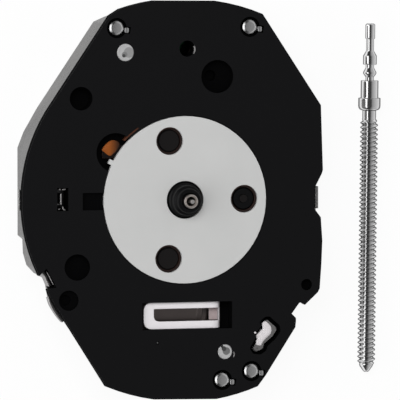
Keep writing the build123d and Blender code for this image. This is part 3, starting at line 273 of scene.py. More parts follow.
# Ear of the guard sheet at 10 o'clock, and the lip beside the disc
ear_outline = ((-4.212, 2.525), (-4.038, 2.774), (-3.829, 2.944), (-3.651, 3.02), (-3.422, 2.966),
               (-3.294, 2.841), (-3.325, 2.683), (-3.391, 2.56), (-3.488, 2.433), (-3.616, 2.327),
               (-3.748, 2.215), (-3.876, 2.237), (-3.993, 2.333), (-4.12, 2.429))
ear_low = 2.79
ear_rise = 0.06
ear_wall = 0.08
ear_rounding = 0.12
lip_radius = 4.315
lip_angles = (123.6, 136.0)
lip_low = 2.66
lip_top = 3.004
lip_width = 0.09
lip_rounding = 0.03
lip_points = 12

# Painted shade and light seen through the windows of the disc: darker amber discs painted on the guard sheet
# under each window, shifted a little, and lighter discs painted on the plate below them, as (half width,
# colour);
# painted shade on the sheet round the ear; and painted shade in the dimples of the tubes, as (x, y, half
# width, grey level)
window_distance = 3.03
window_turns = (0.0, 105.0, -106.0)
window_shade_shift = 0.06
window_shade = (0.70, (0.018, 0.011, 0.010))
window_floor_light = (0.80, (0.0115, 0.0105, 0.0105))
ear_shade = ((-3.62, 2.32, 0.0), 0.0, 1.02, (0.004, 0.0025, 0.0022))
tube_dimple_shade = ((-2.86, 7.34, 0.26, 0.42), (-3.08, 7.24, 0.14, 0.30), (-3.12, 7.18, 0.085, 0.10),
               (2.12, -7.56, 0.19, 0.24), (2.00, -7.44, 0.12, 0.09), (1.90, -7.33, 0.07, 0.04))


def unit(vector):
    """Vector divided by its length."""
    vector = np.asarray(vector, float)
    return vector / np.linalg.norm(vector)


def rounded(corners, radius, steps=corner_steps, closed=False):
    """Polyline whose corners are replaced by quadratic curves.

    Each corner C between neighbours A and B becomes the curve (1-t)^2 P + 2 t (1-t) C + t^2 Q,
    where P and Q lie on the two edges, the radius away from C or at most the largest share of the
    edge. The radius is one number, or one for each corner."""
    corners = np.asarray(corners, float)
    count = len(corners)
    radius = np.broadcast_to(np.asarray(radius, float).reshape(-1, 1), (count, 1))
    before = np.roll(corners, 1, axis=0) - corners
    after = np.roll(corners, -1, axis=0) - corners
    before_length = np.linalg.norm(before, axis=1, keepdims=True)
    after_length = np.linalg.norm(after, axis=1, keepdims=True)
    start = corners + before / before_length * np.minimum(radius, largest_corner_share * before_length)
    end = corners + after / after_length * np.minimum(radius, largest_corner_share * after_length)
    t = np.linspace(0, 1, steps)[None, :, None]
    curves = (1 - t) ** 2 * start[:, None] + 2 * t * (1 - t) * corners[:, None] + t ** 2 * end[:, None]
    points = curves.reshape(count * steps, -1)
    if closed:
        return points
    return np.vstack([corners[:1], points[steps:-steps], corners[-1:]])


def grid_faces(rows, columns, wrap_rows, wrap_columns, first):
    """Vertex numbers and grid places of the four corners of each cell of a grid."""
    row_cells = rows if wrap_rows else rows - 1
    column_cells = columns if wrap_columns else columns - 1
    i, j = np.meshgrid(np.arange(row_cells), np.arange(column_cells), indexing="ij")
    corner_rows = np.stack([i, i, i + 1, i + 1], axis=-1).reshape(-1, 4)
    corner_columns = np.stack([j, j + 1, j + 1, j], axis=-1).reshape(-1, 4)
    faces = (corner_rows % rows) * columns + corner_columns % columns + first
    places = np.stack([corner_columns / column_cells, corner_rows / row_cells], axis=-1)
    return faces, places


def put(name, data):
    """New object in the scene that holds a mesh, a lamp or a camera."""
    thing = bpy.data.objects.new(name, data)
    bpy.context.scene.collection.objects.link(thing)
    return thing


def make_piece(name, patches, surface, body="movement", replaced=(), sharp=sharp_angle):
    """One object with a named surface finish, from grids of points in millimetres.

    Each patch is (points, wrap_rows, wrap_columns), its points an array rows by columns by three.
    The UV map runs from 0 to 1 across each grid. Doubled points at poles are merged."""
    vertices = []
    faces = []
    places = []
    first = 0
    for points, wrap_rows, wrap_columns in patches:
        points = np.asarray(points, float)
        rows, columns = points.shape[:2]
        vertices.append(points.reshape(-1, 3))
        patch_faces, patch_places = grid_faces(rows, columns, wrap_rows, wrap_columns, first)
        faces.append(patch_faces)
        places.append(patch_places)
        first += rows * columns
    mesh = bpy.data.meshes.new(name)
    vertices = np.vstack(vertices) * millimetre
    faces = np.vstack(faces)
    mesh.from_pydata(vertices.tolist(), [], faces.tolist())
    layer = mesh.uv_layers.new(name="surface")
    layer.data.foreach_set("uv", np.vstack([p.reshape(-1, 2) for p in places]).ravel())
    work = bmesh.new()
    work.from_mesh(mesh)
    bmesh.ops.remove_doubles(work, verts=work.verts, dist=merge_distance * millimetre)
    bmesh.ops.recalc_face_normals(work, faces=work.faces)
    work.to_mesh(mesh)
    work.free()
    mesh.polygons.foreach_set("use_smooth", np.ones(len(mesh.polygons), bool))
    mesh.set_sharp_from_angle(angle=math.radians(sharp))
    mesh.materials.append(materials[surface])
    piece = put(name, mesh)
    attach(piece, body)
    if replaced:
        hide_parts(*replaced)


def turned(profile, at=(0, 0), columns=turn_columns, radius_of=None, closed=False):
    """Patch that is a surface of revolution about an upright axis.

    Point = (x + r cos a, y + r sin a, z) for each profile point (r, z) and angle a, with r
    multiplied by radius_of(a, z) where that is given. A closed profile ends where it starts."""
    profile = np.asarray(profile, float)
    angle = np.linspace(0, 2 * math.pi, columns, endpoint=False)[None, :]
    radius = profile[:, :1]
    height = profile[:, 1:]
    if radius_of is not None:
        radius = radius * radius_of(angle, height)
    x = at[0] + radius * np.cos(angle)
    y = at[1] + radius * np.sin(angle)
    z = height + 0 * angle
    return np.stack([x + 0 * z, y + 0 * z, z], axis=-1), closed, True


def toothed_ring(teeth, module, bore, low, high):
    """Closed patch of a toothed wheel with a bore on the hand axis.

    The rim's radius runs along each tooth from the root circle up to the tip circle and back:
    by the distance from the tooth's middle as a share of the pitch, it is the tip radius up to the
    tip share, the root radius beyond the root share, and straight between."""
    angle = np.linspace(0, 2 * math.pi, teeth * points_per_tooth, endpoint=False)
    share = np.abs((angle * teeth / (2 * math.pi) + 0.5) % 1 - 0.5)
    rise = np.clip((tooth_root_share - share) / (tooth_root_share - tooth_tip_share), 0, 1)
    tip = module * (teeth / 2 + tooth_height_share)
    root = module * (teeth / 2 - root_depth_share)
    rim = root + (tip - root) * rise
    rows = [(bore + 0 * rim, low), (rim, low), (rim, high), (bore + 0 * rim, high)]
    grid = [np.stack([r * np.cos(angle), r * np.sin(angle), z + 0 * r], axis=-1) for r, z in rows]
    return np.array(grid), True, True


def place_along(points, start, direction, up):
    """Points given as (along, across, up) from a start, in the frame of a direction."""
    along = unit(direction)
    across = unit(np.cross(up, along))
    over = np.cross(along, across)
    return np.asarray(start) + points[..., :1] * along + points[..., 1:2] * across + points[..., 2:] * over


def strip(line, low, high, thickness, rounding):
    """Patch that is an upright sheet-metal strip along a line in the plan.

    Its section is a rounded rectangle, thickness by height, carried from the first point of the
    line to the last one and closed at both ends by rows drawn in to the section's middle."""
    line = np.asarray(line, float)
    half = thickness / 2
    section = rounded([(-half, low), (half, low), (half, high), (-half, high)], rounding, closed=True)
    tangent = np.gradient(line, axis=0)
    tangent /= np.linalg.norm(tangent, axis=1, keepdims=True)
    normal = np.stack([-tangent[:, 1], tangent[:, 0]], axis=1)
    plan = line[:, None] + section[None, :, :1] * normal[:, None]
    height = section[None, :, 1:] + 0 * plan[..., :1]
    grid = np.concatenate([plan, height], axis=-1)
    ends = [np.repeat(row.mean(axis=0, keepdims=True), len(section), axis=0) for row in (grid[0], grid[-1])]
    return np.concatenate([[ends[0]], grid, [ends[1]]]), False, True


def domed(outline, low, rise, wall, rounding):
    """Patch that is a domed pad.

    A row with share s holds the rounded outline drawn in towards its middle by s, at the height
    low + rise (1 - s^n) with n the dome's power. The wall below it goes straight down to a flat
    underside."""
    loop = rounded(outline, rounding, closed=True)
    middle = loop.mean(axis=0)
    share = np.array(dome_shares)[:, None]
    height = low + rise * (1 - share ** dome_power)
    height[:dome_wall_rows] = low - wall
    plan = middle + (loop - middle)[None] * share[:, :, None]
    return np.concatenate([plan, np.repeat(height[:, None], len(loop), axis=1)], axis=-1), False, True


# ---------------------------------------------------------------- materials


def join(tree, value, target):
    """Links an input to a socket, or sets it to a plain value."""
    if isinstance(value, bpy.types.NodeSocket):
        tree.links.new(value, target)
    else:
        target.default_value = value


def add(tree, kind, **inputs):
    """New node, each named input joined to a socket or set to a value."""
    node = tree.nodes.new(kind)
    for key, value in inputs.items():
        join(tree, value, node.inputs[key.replace("_", " ")])
    return node


def in_turn(tree, node, values):
    """Joins or sets a node's inputs in their order."""
    for value, socket in zip(values, node.inputs):
        join(tree, value, socket)
    return node.outputs


def math_node(tree, operation, *values):
    """Result of a math node whose inputs are sockets or numbers."""
    node = tree.nodes.new("ShaderNodeMath")
    node.operation = operation
    return in_turn(tree, node, values)["Value"]


def vector_node(tree, operation, *values):
    """Results of a vector math node, Vector and Value."""
    node = tree.nodes.new("ShaderNodeVectorMath")
    node.operation = operation
    return in_turn(tree, node, values)


def object_place(tree):
    """Coordinates in the object's own frame."""
    return tree.nodes.new("ShaderNodeTexCoord").outputs["Object"]


def between(tree, value, low, high):
    """Share from 0 to 1 of the way from low to high at which a value lies."""
    return add(tree, "ShaderNodeMapRange", Value=value, From_Min=low, From_Max=high).outputs["Result"]


def noise(tree, place, **values):
    """Level of a noise texture over a place."""
    return add(tree, "ShaderNodeTexNoise", Vector=place, **values).outputs["Fac"]


def new_group(name, inputs, **outputs):
    """Empty node group with its two ends, from its inputs' values and its outputs' kinds."""
    tree = bpy.data.node_groups.new(name, "ShaderNodeTree")
    for key, value in inputs.items():
        kind = "Vector" if isinstance(value, tuple) else "Float"
        socket = tree.interface.new_socket(name=key, in_out="INPUT", socket_type="NodeSocket" + kind)
        socket.default_value = value
    for key, kind in outputs.items():
        tree.interface.new_socket(name=key, in_out="OUTPUT", socket_type="NodeSocket" + kind)
    return tree, tree.nodes.new("NodeGroupInput").outputs, tree.nodes.new("NodeGroupOutput").inputs


def soft_edge_group():
    """Normals rounded over the edges, and a mask of the edges from how far they turn."""
    tree, given, result = new_group("soft_edges", {"Radius": 0.00003}, Normal="Vector", Edge="Float")
    bevel = add(tree, "ShaderNodeBevel", Radius=given["Radius"])
    bevel.samples = bevel_samples
    normal = bevel.outputs["Normal"]
    flat = tree.nodes.new("ShaderNodeNewGeometry").outputs["Normal"]
    turn = math_node(tree, "SUBTRACT", 1.0, vector_node(tree, "DOT_PRODUCT", normal, flat)["Value"])
    edge = math_node(tree, "MULTIPLY", turn, edge_mask_gain)
    join(tree, normal, result["Normal"])
    join(tree, math_node(tree, "MINIMUM", edge, 1.0), result["Edge"])
    return tree


def grain_group():
    """Fine grain: a height from small noise on broad noise, and a slow value for colour."""
    tree, given, result = new_group("grain", {"Scale": 30000.0}, Height="Float", Cloud="Float")
    place = object_place(tree)
    fine = noise(tree, place, Scale=given["Scale"], Detail=3.0, Roughness=0.6)
    broad_scale = math_node(tree, "MULTIPLY", given["Scale"], broad_grain_share)
    broad = noise(tree, place, Scale=broad_scale, Detail=4.0, Roughness=0.55)
    join(tree, math_node(tree, "MULTIPLY_ADD", broad, broad_grain_weight, fine), result["Height"])
    join(tree, broad, result["Cloud"])
    return tree


def speck_group():
    """Sparse specks of dust: small cells of a Voronoi pattern, kept where a slow noise is high."""
    given_values = {"Scale": 2500.0, "Size": 0.1, "Cover": 0.5}
    tree, given, result = new_group("specks", given_values, Mask="Float")
    place = object_place(tree)
    cells = add(tree, "ShaderNodeTexVoronoi", Vector=place, Scale=given["Scale"])
    near = math_node(tree, "LESS_THAN", cells.outputs["Distance"], given["Size"])
    patches = noise(tree, place, Scale=600.0, Detail=2.0)
    high = math_node(tree, "GREATER_THAN", patches, given["Cover"])
    join(tree, math_node(tree, "MULTIPLY", near, high), result["Mask"])
    return tree


def line_group():
    """Drawn or turned lines: noise on coordinates stretched by the Stretch vector."""
    given_values = {"Vector": (0, 0, 0), "Stretch": (1, 1, 1)}
    tree, given, result = new_group("lines", given_values, Height="Float")
    scaled = vector_node(tree, "MULTIPLY", given["Vector"], given["Stretch"])["Vector"]
    join(tree, noise(tree, scaled, Scale=1.0, Detail=3.0, Roughness=0.65), result["Height"])
    return tree


def ring_group():
    """Mask of a ring mark: 1 where the distance from the centre in the plan is near the radius."""
    given_values = {"Centre": (0, 0, 0), "Radius": 0.0003, "Width": 0.00004}
    tree, given, result = new_group("ring_mark", given_values, Mask="Float")
    away = vector_node(tree, "SUBTRACT", object_place(tree), given["Centre"])["Vector"]
    flat = vector_node(tree, "MULTIPLY", away, (1, 1, 0))["Vector"]
    length = vector_node(tree, "LENGTH", flat)["Value"]
    off = math_node(tree, "ABSOLUTE", math_node(tree, "SUBTRACT", length, given["Radius"]))
    join(tree, math_node(tree, "LESS_THAN", off, given["Width"]), result["Mask"])
    return tree


groups = {
    "soft_edges": soft_edge_group(),
    "grain": grain_group(),
    "specks": speck_group(),
    "lines": line_group(),
    "ring_mark": ring_group(),
}
materials = {}


def place_group(tree, name, **inputs):
    """Results of one use of a node group with its own values."""
    node = tree.nodes.new("ShaderNodeGroup")
    node.node_tree = groups[name]
    for key, value in inputs.items():
        join(tree, value, node.inputs[key])
    return node.outputs


def blend_colours(tree, mask, low, high):
    """Colour between two, by a mask. Each colour is a socket or an RGB value."""
    node = tree.nodes.new("ShaderNodeMix")
    node.data_type = "RGBA"
    join(tree, mask, node.inputs["Factor"])
    for key, value in (("A", low), ("B", high)):
        join(tree, (*value, 1.0) if isinstance(value, tuple) else value, node.inputs[key])
    return next(output for output in node.outputs if output.type == "RGBA")


def spread(tree, value, low, high):
    """Value from 0 to 1 mapped onto a range."""
    return math_node(tree, "MULTIPLY_ADD", value, high - low, low)


def grey(level):
    """Colour without a hue."""
    return (level, level, level)


def finish(name, colour, second, metallic, roughness, grain_scale, grain_depth, edge_radius,
           edge_colour=None, edge_gain=0.5, lines=None, line_depth=0.1, on_surface=False, dust=0.0,
           specular=0.5, coat=0.0, tint=1.0, grazing_shade=1.0, marks=(), shade_along_x=None, height_shade=None):
    """Surface finish: two colours blended by slow noise, grained bump, lines, worn edges and dust.

    Roughness runs over a range by the same noises. Lines follow the object's axes, or the
    piece's own UV map where on_surface is set. Grazing shade is painted shade: the base colour of
    a round metal part darkens to the given share where its surface turns away from the view.
    Marks are discs or rings of another colour, each (centre, radius, half width, colour), used
    here for painted light and shade. A shade along X is painted shade, a change to a darker
    colour along X, and a height shade is painted shade along Z, as (low, high, colour above):
    faces above the height get the colour above, and those below keep the base colour, with matt
    sides below it."""
    material = bpy.data.materials.new(name)
    material.use_nodes = True
    tree = material.node_tree
    grain = place_group(tree, "grain", Scale=grain_scale)
    edges = place_group(tree, "soft_edges", Radius=edge_radius * millimetre)
    value = blend_colours(tree, grain["Cloud"], colour, second)
    rough = grain["Cloud"]
    height = math_node(tree, "MULTIPLY", grain["Height"], grain_depth)
    if lines is not None:
        place = tree.nodes.new("ShaderNodeTexCoord").outputs["UV" if on_surface else "Object"]
        drawn = place_group(tree, "lines", Vector=place, Stretch=lines)["Height"]
        height = math_node(tree, "MULTIPLY_ADD", drawn, line_depth, height)
        rough = math_node(tree, "MULTIPLY_ADD", drawn, 0.5, math_node(tree, "MULTIPLY", rough, 0.5))
    gloss = spread(tree, rough, *roughness)
    for run, axis in ((shade_along_x, "X"), (height_shade, "Z")):
        if run is None:
            continue
        low, high, far = run
        split = add(tree, "ShaderNodeSeparateXYZ", Vector=object_place(tree))
        share = between(tree, split.outputs[axis], low * millimetre, high * millimetre)
        value = blend_colours(tree, share, value, far)
        if run is height_shade:
            gloss = math_node(tree, "MAXIMUM", gloss, spread(tree, share, matt_roughness, 0.0))
    for centre, radius, width, mark_colour in marks:
        mark = place_group(tree, "ring_mark", Centre=[c * millimetre for c in centre],
                           Radius=radius * millimetre, Width=width * millimetre)
        value = blend_colours(tree, mark["Mask"], value, mark_colour)
    if edge_colour is not None:
        worn = math_node(tree, "MULTIPLY", edges["Edge"], edge_gain)
        value = blend_colours(tree, worn, value, edge_colour)
    if dust:
        specks = place_group(tree, "specks", Scale=dust_scale, Size=dust_size, Cover=1.0 - dust)
        dusty = math_node(tree, "MULTIPLY", specks["Mask"], dust_strength)
        value = blend_colours(tree, dusty, value, dust_colour)
    # Painted shade: base colour darkened where the surface turns away from the view.
    if grazing_shade < 1.0:
        facing = add(tree, "ShaderNodeLayerWeight", Blend=0.5).outputs["Facing"]
        grazing_shade_share = between(tree, facing, grazing_start, grazing_end)
        value = blend_colours(tree, grazing_shade_share, value, tuple(grazing_shade * c for c in colour))
    bump = add(tree, "ShaderNodeBump", Strength=bump_strength, Distance=bump_distance, Height=height,
               Normal=edges["Normal"])
    surface = {"Base Color": value, "Metallic": metallic, "Roughness": gloss,
               "Normal": bump.outputs["Normal"], "Specular IOR Level": specular,
               "Specular Tint": (*grey(tint), 1.0), "Coat Weight": coat}
    for key, level in surface.items():
        join(tree, level, tree.nodes["Principled BSDF"].inputs[key])
    materials[name] = material


black = (0.0016, 0.0016, 0.0018)
window_angles = [math.radians(turn) for turn in window_turns]
window_places = [(window_distance * math.cos(angle), window_distance * math.sin(angle), 0.0)
                 for angle in window_angles]
# Painted shade: darker discs on the amber sheet under the windows and round the ear.
sheet_shade_marks = [((x + window_shade_shift, y - window_shade_shift, z), 0.0, *window_shade)
                for x, y, z in window_places]
sheet_shade_marks.append(ear_shade)
# Painted shade in the dimples of the tubes: grey discs darker than the steel.
tube_dimple_shade_marks = [((x, y, 0.0), 0.0, radius, grey(level)) for x, y, radius, level in tube_dimple_shade]
# Painted light: lighter discs on the plate where it is seen through the windows.
floor_light_marks = [(place, 0.0, *window_floor_light) for place in window_places]

# Each finish: two colours, metallic, range of roughness, scale and depth of the grain, radius of the soft
# edges, then colour and share of the worn edges, and stretch and depth of the lines
# Painted shade on the plate: its top face is lighter and every face below it darker; painted light in the
# window discs.
finish("black_moulding", black, (0.0026, 0.0026, 0.0028), 0.0, (0.44, 0.6), 26000.0, 0.4, 0.008, dust=0.22,
       specular=0.03, marks=floor_light_marks, height_shade=(2.94, 2.995, (0.0074, 0.0074, 0.0079)))
finish("black_hub", (0.0035, 0.0035, 0.0038), (0.005, 0.005, 0.0055), 0.0, (0.32, 0.44), 40000.0, 0.2, 0.03,
       grey(0.02), 0.3, specular=0.12)
finish("white_disc", (0.525, 0.53, 0.525), (0.575, 0.575, 0.57), 0.0, (0.42, 0.55), 18000.0, 0.25, 0.03,
       grey(0.74), 0.5, dust=0.3, specular=0.3)
# Painted shade: the guard sheet and its lip are darker copies of the ear's amber, for the shade under the
# disc.
finish("shaded_amber_sheet", (0.075, 0.026, 0.012), (0.055, 0.02, 0.010), 0.0, (0.3, 0.45), 20000.0, 0.2, 0.03,
       (0.11, 0.04, 0.02), 0.4, specular=0.25, marks=sheet_shade_marks)
# The ear: painted shade darkens it towards its right side.
finish("amber_ear", (0.29, 0.085, 0.016), (0.22, 0.055, 0.011), 0.0, (0.28, 0.42), 20000.0, 0.2, 0.03,
       (0.32, 0.13, 0.05), 0.4, specular=0.2, shade_along_x=(-3.85, -3.40, (0.045, 0.016, 0.006)))
finish("shaded_amber_lip", (0.085, 0.028, 0.014), (0.05, 0.018, 0.009), 0.0, (0.3, 0.45), 20000.0, 0.2, 0.03,
       (0.12, 0.045, 0.02), 0.4, specular=0.25)
finish("cover_steel", (0.24, 0.237, 0.235), (0.375, 0.371, 0.368), 1.0, (0.2, 0.36), 22000.0, 0.7, 0.12,
       (0.45, 0.45, 0.44), 0.5, (4000.0, 4000.0, 60000.0), 0.6, dust=0.3, tint=0.6)
# The leaf: painted shade darkens its bent right end.
finish("frosted_leaf", (0.84, 0.81, 0.83), (0.89, 0.86, 0.88), 0.12, (0.42, 0.55), 24000.0, 0.25, 0.03,
       lines=(2500.0, 30000.0, 30000.0), line_depth=0.15, specular=0.4,
       shade_along_x=(1.74, 1.88, (0.07, 0.06, 0.06)))
finish("frosted_hook", (0.74, 0.71, 0.72), (0.84, 0.80, 0.82), 0.15, (0.38, 0.5), 24000.0, 0.3, 0.04,
       (0.88, 0.85, 0.86), 0.5, (20000.0, 9000.0, 20000.0), 0.2, specular=0.4)
# Painted shade: the foot is a darker, pinkish copy of the leaf's metal, for the shade in the slot.
finish("shaded_leaf_foot", (0.44, 0.36, 0.36), (0.52, 0.43, 0.43), 0.2, (0.4, 0.52), 24000.0, 0.25, 0.03,
       (0.6, 0.52, 0.52), 0.4, (30000.0, 2500.0, 30000.0), 0.15, specular=0.35)
finish("spring_steel", (0.42, 0.41, 0.41), (0.50, 0.485, 0.485), 1.0, (0.26, 0.4), 20000.0, 0.12, 0.05,
       (0.7, 0.69, 0.69), 0.5, (2500.0, 30000.0, 30000.0), 0.2, tint=0.6)
# Turned steel, the stem and warm steel carry painted shade at edges that turn away from the view.
finish("turned_steel", (0.66, 0.66, 0.67), grey(0.74), 1.0, (0.2, 0.3), 20000.0, 0.12, 0.03, grey(0.86), 0.4,
       (2.0, 160.0, 1.0), 0.2, on_surface=True, tint=0.5, grazing_shade=0.3)
# Tube steel carries painted shade discs in its dimples.
finish("tube_steel", (0.60, 0.60, 0.605), grey(0.70), 0.5, (0.3, 0.42), 20000.0, 0.15, 0.04, grey(0.85), 0.6,
       (2.0, 90.0, 1.0), 0.2, on_surface=True, tint=0.5, marks=tube_dimple_shade_marks)
finish("bright_stem", (0.78, 0.78, 0.785), grey(0.84), 1.0, (0.1, 0.18), 20000.0, 0.12, 0.02, grey(0.9), 0.25,
       (1.5, 900.0, 1.0), 0.12, on_surface=True, tint=0.5, grazing_shade=0.22)
finish("cut_steel", (0.42, 0.42, 0.43), (0.50, 0.50, 0.51), 1.0, (0.22, 0.36), 24000.0, 0.2, 0.03, grey(0.65),
       0.5, tint=0.6)
finish("warm_steel", (0.70, 0.64, 0.60), (0.78, 0.72, 0.68), 1.0, (0.3, 0.42), 24000.0, 0.15, 0.02,
       (0.86, 0.80, 0.76), 0.4, (2.0, 60.0, 1.0), 0.2, on_surface=True, tint=0.5, grazing_shade=0.5)
finish("seconds_steel", (0.80, 0.77, 0.74), (0.88, 0.85, 0.82), 1.0, (0.3, 0.45), 24000.0, 0.15, 0.02,
       (0.9, 0.87, 0.84), 0.4)
finish("wheel_brass", (0.62, 0.42, 0.16), (0.70, 0.50, 0.21), 1.0, (0.22, 0.36), 24000.0, 0.15, 0.02,
       (0.85, 0.68, 0.36), 0.5)
# Painted shade: the centre wheel is painted near black for the shade inside the hand posts.
finish("shaded_arbor", (0.05, 0.047, 0.045), (0.08, 0.075, 0.07), 1.0, (0.25, 0.4), 24000.0, 0.15, 0.02,
       (0.2, 0.19, 0.18), 0.4)
finish("soft_iron", (0.42, 0.42, 0.44), (0.50, 0.50, 0.51), 1.0, (0.34, 0.5), 24000.0, 0.3, 0.03, grey(0.62),
       0.4, (26000.0, 3000.0, 26000.0), 0.3)
finish("sintered_magnet", (0.05, 0.05, 0.055), (0.08, 0.08, 0.082), 0.6, (0.4, 0.6), 30000.0, 0.6, 0.03,
       grey(0.2), 0.5)
finish("wound_copper", (0.42, 0.13, 0.04), (0.55, 0.2, 0.07), 1.0, (0.25, 0.4), 20000.0, 0.1, 0.03,
       (0.7, 0.35, 0.15), 0.3, (17000.0, 20000.0, 600.0), 0.9)
finish("board_mask", (0.012, 0.075, 0.03), (0.02, 0.11, 0.045), 0.0, (0.2, 0.35), 12000.0, 0.3, 0.03,
       (0.25, 0.22, 0.1), 0.5, coat=0.4)
finish("poured_epoxy", grey(0.006), grey(0.012), 0.0, (0.15, 0.3), 9000.0, 0.4, 0.08, grey(0.02), 0.3,
       coat=0.5)
finish("solder", (0.62, 0.62, 0.63), grey(0.7), 1.0, (0.22, 0.4), 16000.0, 0.4, 0.05)
finish("thin_film", (0.35, 0.2, 0.05), (0.42, 0.26, 0.08), 0.0, (0.25, 0.4), 12000.0, 0.2, 0.02)
finish("seal", (0.045, 0.036, 0.034), (0.06, 0.05, 0.047), 0.0, (0.3, 0.5), 16000.0, 0.3, 0.03)
# Painted shade: the cell, its cap and the crystal can are a darkened brownish steel, for the shade seen
# through the leaf's slot.
finish("shaded_cell_steel", (0.17, 0.145, 0.14), (0.23, 0.195, 0.185), 1.0, (0.24, 0.38), 20000.0, 0.15, 0.1,
       (0.6, 0.57, 0.56), 0.4, (3000.0, 30000.0, 30000.0), 0.25, dust=0.25, tint=0.6)

node_finishes = {
    "black_moulding": ("main_plate",),
    "white_disc": ("motion_cover", "coil_bobbin"),
    "shaded_amber_sheet": ("motion_guard",),
    "wheel_brass": ("minute_wheel", "third_wheel", "fifth_wheel", "bridge_bushes", "centre_bush"),
    "black_hub": ("setting_wheel", "train_bridge"),
    "shaded_arbor": ("centre_wheel",),
    "seconds_steel": ("seconds_wheel",),
    "sintered_magnet": ("rotor_magnet",),
    "cut_steel": ("rotor_pinion", "bridge_screws", "coil_screws", "cover_screws", "clutch_wheel",
                  "setting_lever", "yoke", "reset_lever", "lever_screw"),
    "soft_iron": ("stator", "coil_core"),
    "wound_copper": ("coil_winding",),
    "board_mask": ("coil_board", "circuit_board"),
    "poured_epoxy": ("ic_chip",),
    "solder": ("solder_pads", "crystal_leads"),
    "shaded_cell_steel": ("crystal_can", "battery_can", "battery_cap"),
    "seal": ("battery_gasket",),
    "spring_steel": ("battery_clamp", "lever_plate"),
    "thin_film": ("insulator_sheet",),
    "cover_steel": ("back_cover",),
}
for finish_name, nodes in node_finishes.items():
    for node in nodes:
        mesh = frame["nodes"][node].data
        mesh.materials.clear()
        mesh.materials.append(materials[finish_name])


# ---------------------------------------------------------------- hand posts and posts of the plate


def hour_post():
    """Black hour wheel: a toothed ring and a stepped hub turned from a rounded profile."""
    wheel = toothed_ring(hour_teeth, hour_module, hour_bore, *hour_wheel_heights)
    hub = turned(rounded(hour_profile, post_rounding, closed=True), closed=True)
    make_piece("hour_post", [wheel, hub], "black_hub", "hour", ["hour_wheel"])


def minute_post():
    """Cannon pinion: a toothed ring and a tube turned from a rounded profile."""
    wheel = toothed_ring(cannon_teeth, motion_module, cannon_bore, *cannon_wheel_heights)
    tube = turned(rounded(cannon_profile, post_rounding, closed=True), closed=True)
    make_piece("minute_post", [wheel, tube], "warm_steel", "cannon", ["cannon_pinion"])


def lug_plan(angle, height):
    """Radius of a squarish plan: 1 / (|cos a / p|^n + |sin a / q|^n)^(1/n) with half sizes p and q."""
    power = np.abs(np.cos(angle) / lug_half_sizes[0]) ** lug_squareness
    power = power + np.abs(np.sin(angle) / lug_half_sizes[1]) ** lug_squareness
    return power ** (-1 / lug_squareness) + 0 * height


def keyed_heads():
    """Four round posts with a flat middle and a sloping edge, each with a small block beside it."""
    patches = []
    radius = keyed_post_radius
    top = keyed_post_top
    head = rounded([(0, keyed_post_low), (radius, keyed_post_low), (radius, top - head_slope_height),
                    (head_flat_radius, top), (0, top)], head_rounding)
    lug_top = top - lug_drop
    lug = rounded([(0, keyed_post_low), (1, keyed_post_low), (1, lug_top - lug_edge_height),
                   (lug_flat_share, lug_top), (0, lug_top)], lug_rounding)
    for x, y in keyed_post_places:
        patches.append(turned(head, (x, y), head_columns))
        patches.append(turned(lug, (x + lug_offset[0], y + lug_offset[1]), lug_columns, lug_plan))
    make_piece("keyed_heads", patches, "turned_steel", replaced=["keyed_posts"])


def screw_tubes():
    """Two round posts whose tops have a shallow cone, hollow below for the cover screws."""
    patches = []
    for x, y, radius in tube_places:
        profile = [(0, tube_bore_top), (tube_bore, tube_bore_top), (tube_bore, tube_low), (radius, tube_low),
                   (radius, tube_top - tube_chamfer), (radius - tube_chamfer, tube_top),
                   (radius * tube_dimple_share, tube_top), (0, tube_top - tube_dimple_depth)]
        patches.append(turned(rounded(profile, head_rounding), (x, y)))
    make_piece("screw_tubes", patches, "tube_steel", replaced=["plain_posts"])


def pin(place, radius, low, high, chamfer):
    """Thin round pin with its top edge broken."""
    profile = [(0, low), (radius, low), (radius, high - chamfer), (radius - chamfer, high), (0, high)]
    return turned(rounded(profile, pin_rounding), place, pin_columns)


def rest_pin():
    """Pin in the small hole of the plate near the leaf."""
    patch = pin(rest_pin_place, rest_pin_radius, rest_pin_low, rest_pin_top, rest_pin_chamfer)
    make_piece("rest_pin", [patch], "cut_steel")


# ---------------------------------------------------------------- contacts


def loop_rectangle(left, right, low, high, corners):
    """Closed loop round a rectangle with rounded corners, its sides divided into short runs."""
    places = [(left, low), (right, low), (right, high), (left, high)]
    loop = rounded(places, corners, leaf_corner_steps, closed=True) + (0, leaf_middle_y)
    after = np.roll(loop, -1, axis=0)
    share = np.linspace(0, 1, side_steps, endpoint=False)[None, :, None]
    return (loop[:, None] * (1 - share) + after[:, None] * share).reshape(-1, 2)


def bend_down(points):
    """Bends the leaf's right end down round a cylinder.

    Past the start x0 a point at height h over the leaf's underside goes to
    x0 + (R + h) sin a and to the height (R + h) cos a - R, with a = (x - x0) / R, but at most the
    angle of the bend."""
    x = points[..., 0]
    height = points[..., 2] - (leaf_top - leaf_thickness)
    angle = np.clip((x - leaf_bend_start) / leaf_bend_radius, 0, leaf_bend_angle)
    bent = points.copy()
    beyond = x > leaf_bend_start
    bent[..., 0] = np.where(beyond, leaf_bend_start + (leaf_bend_radius + height) * np.sin(angle), x)
    low = leaf_top - leaf_thickness - leaf_bend_radius
    bent[..., 2] = np.where(beyond, low + (leaf_bend_radius + height) * np.cos(angle), points[..., 2])
    return bent


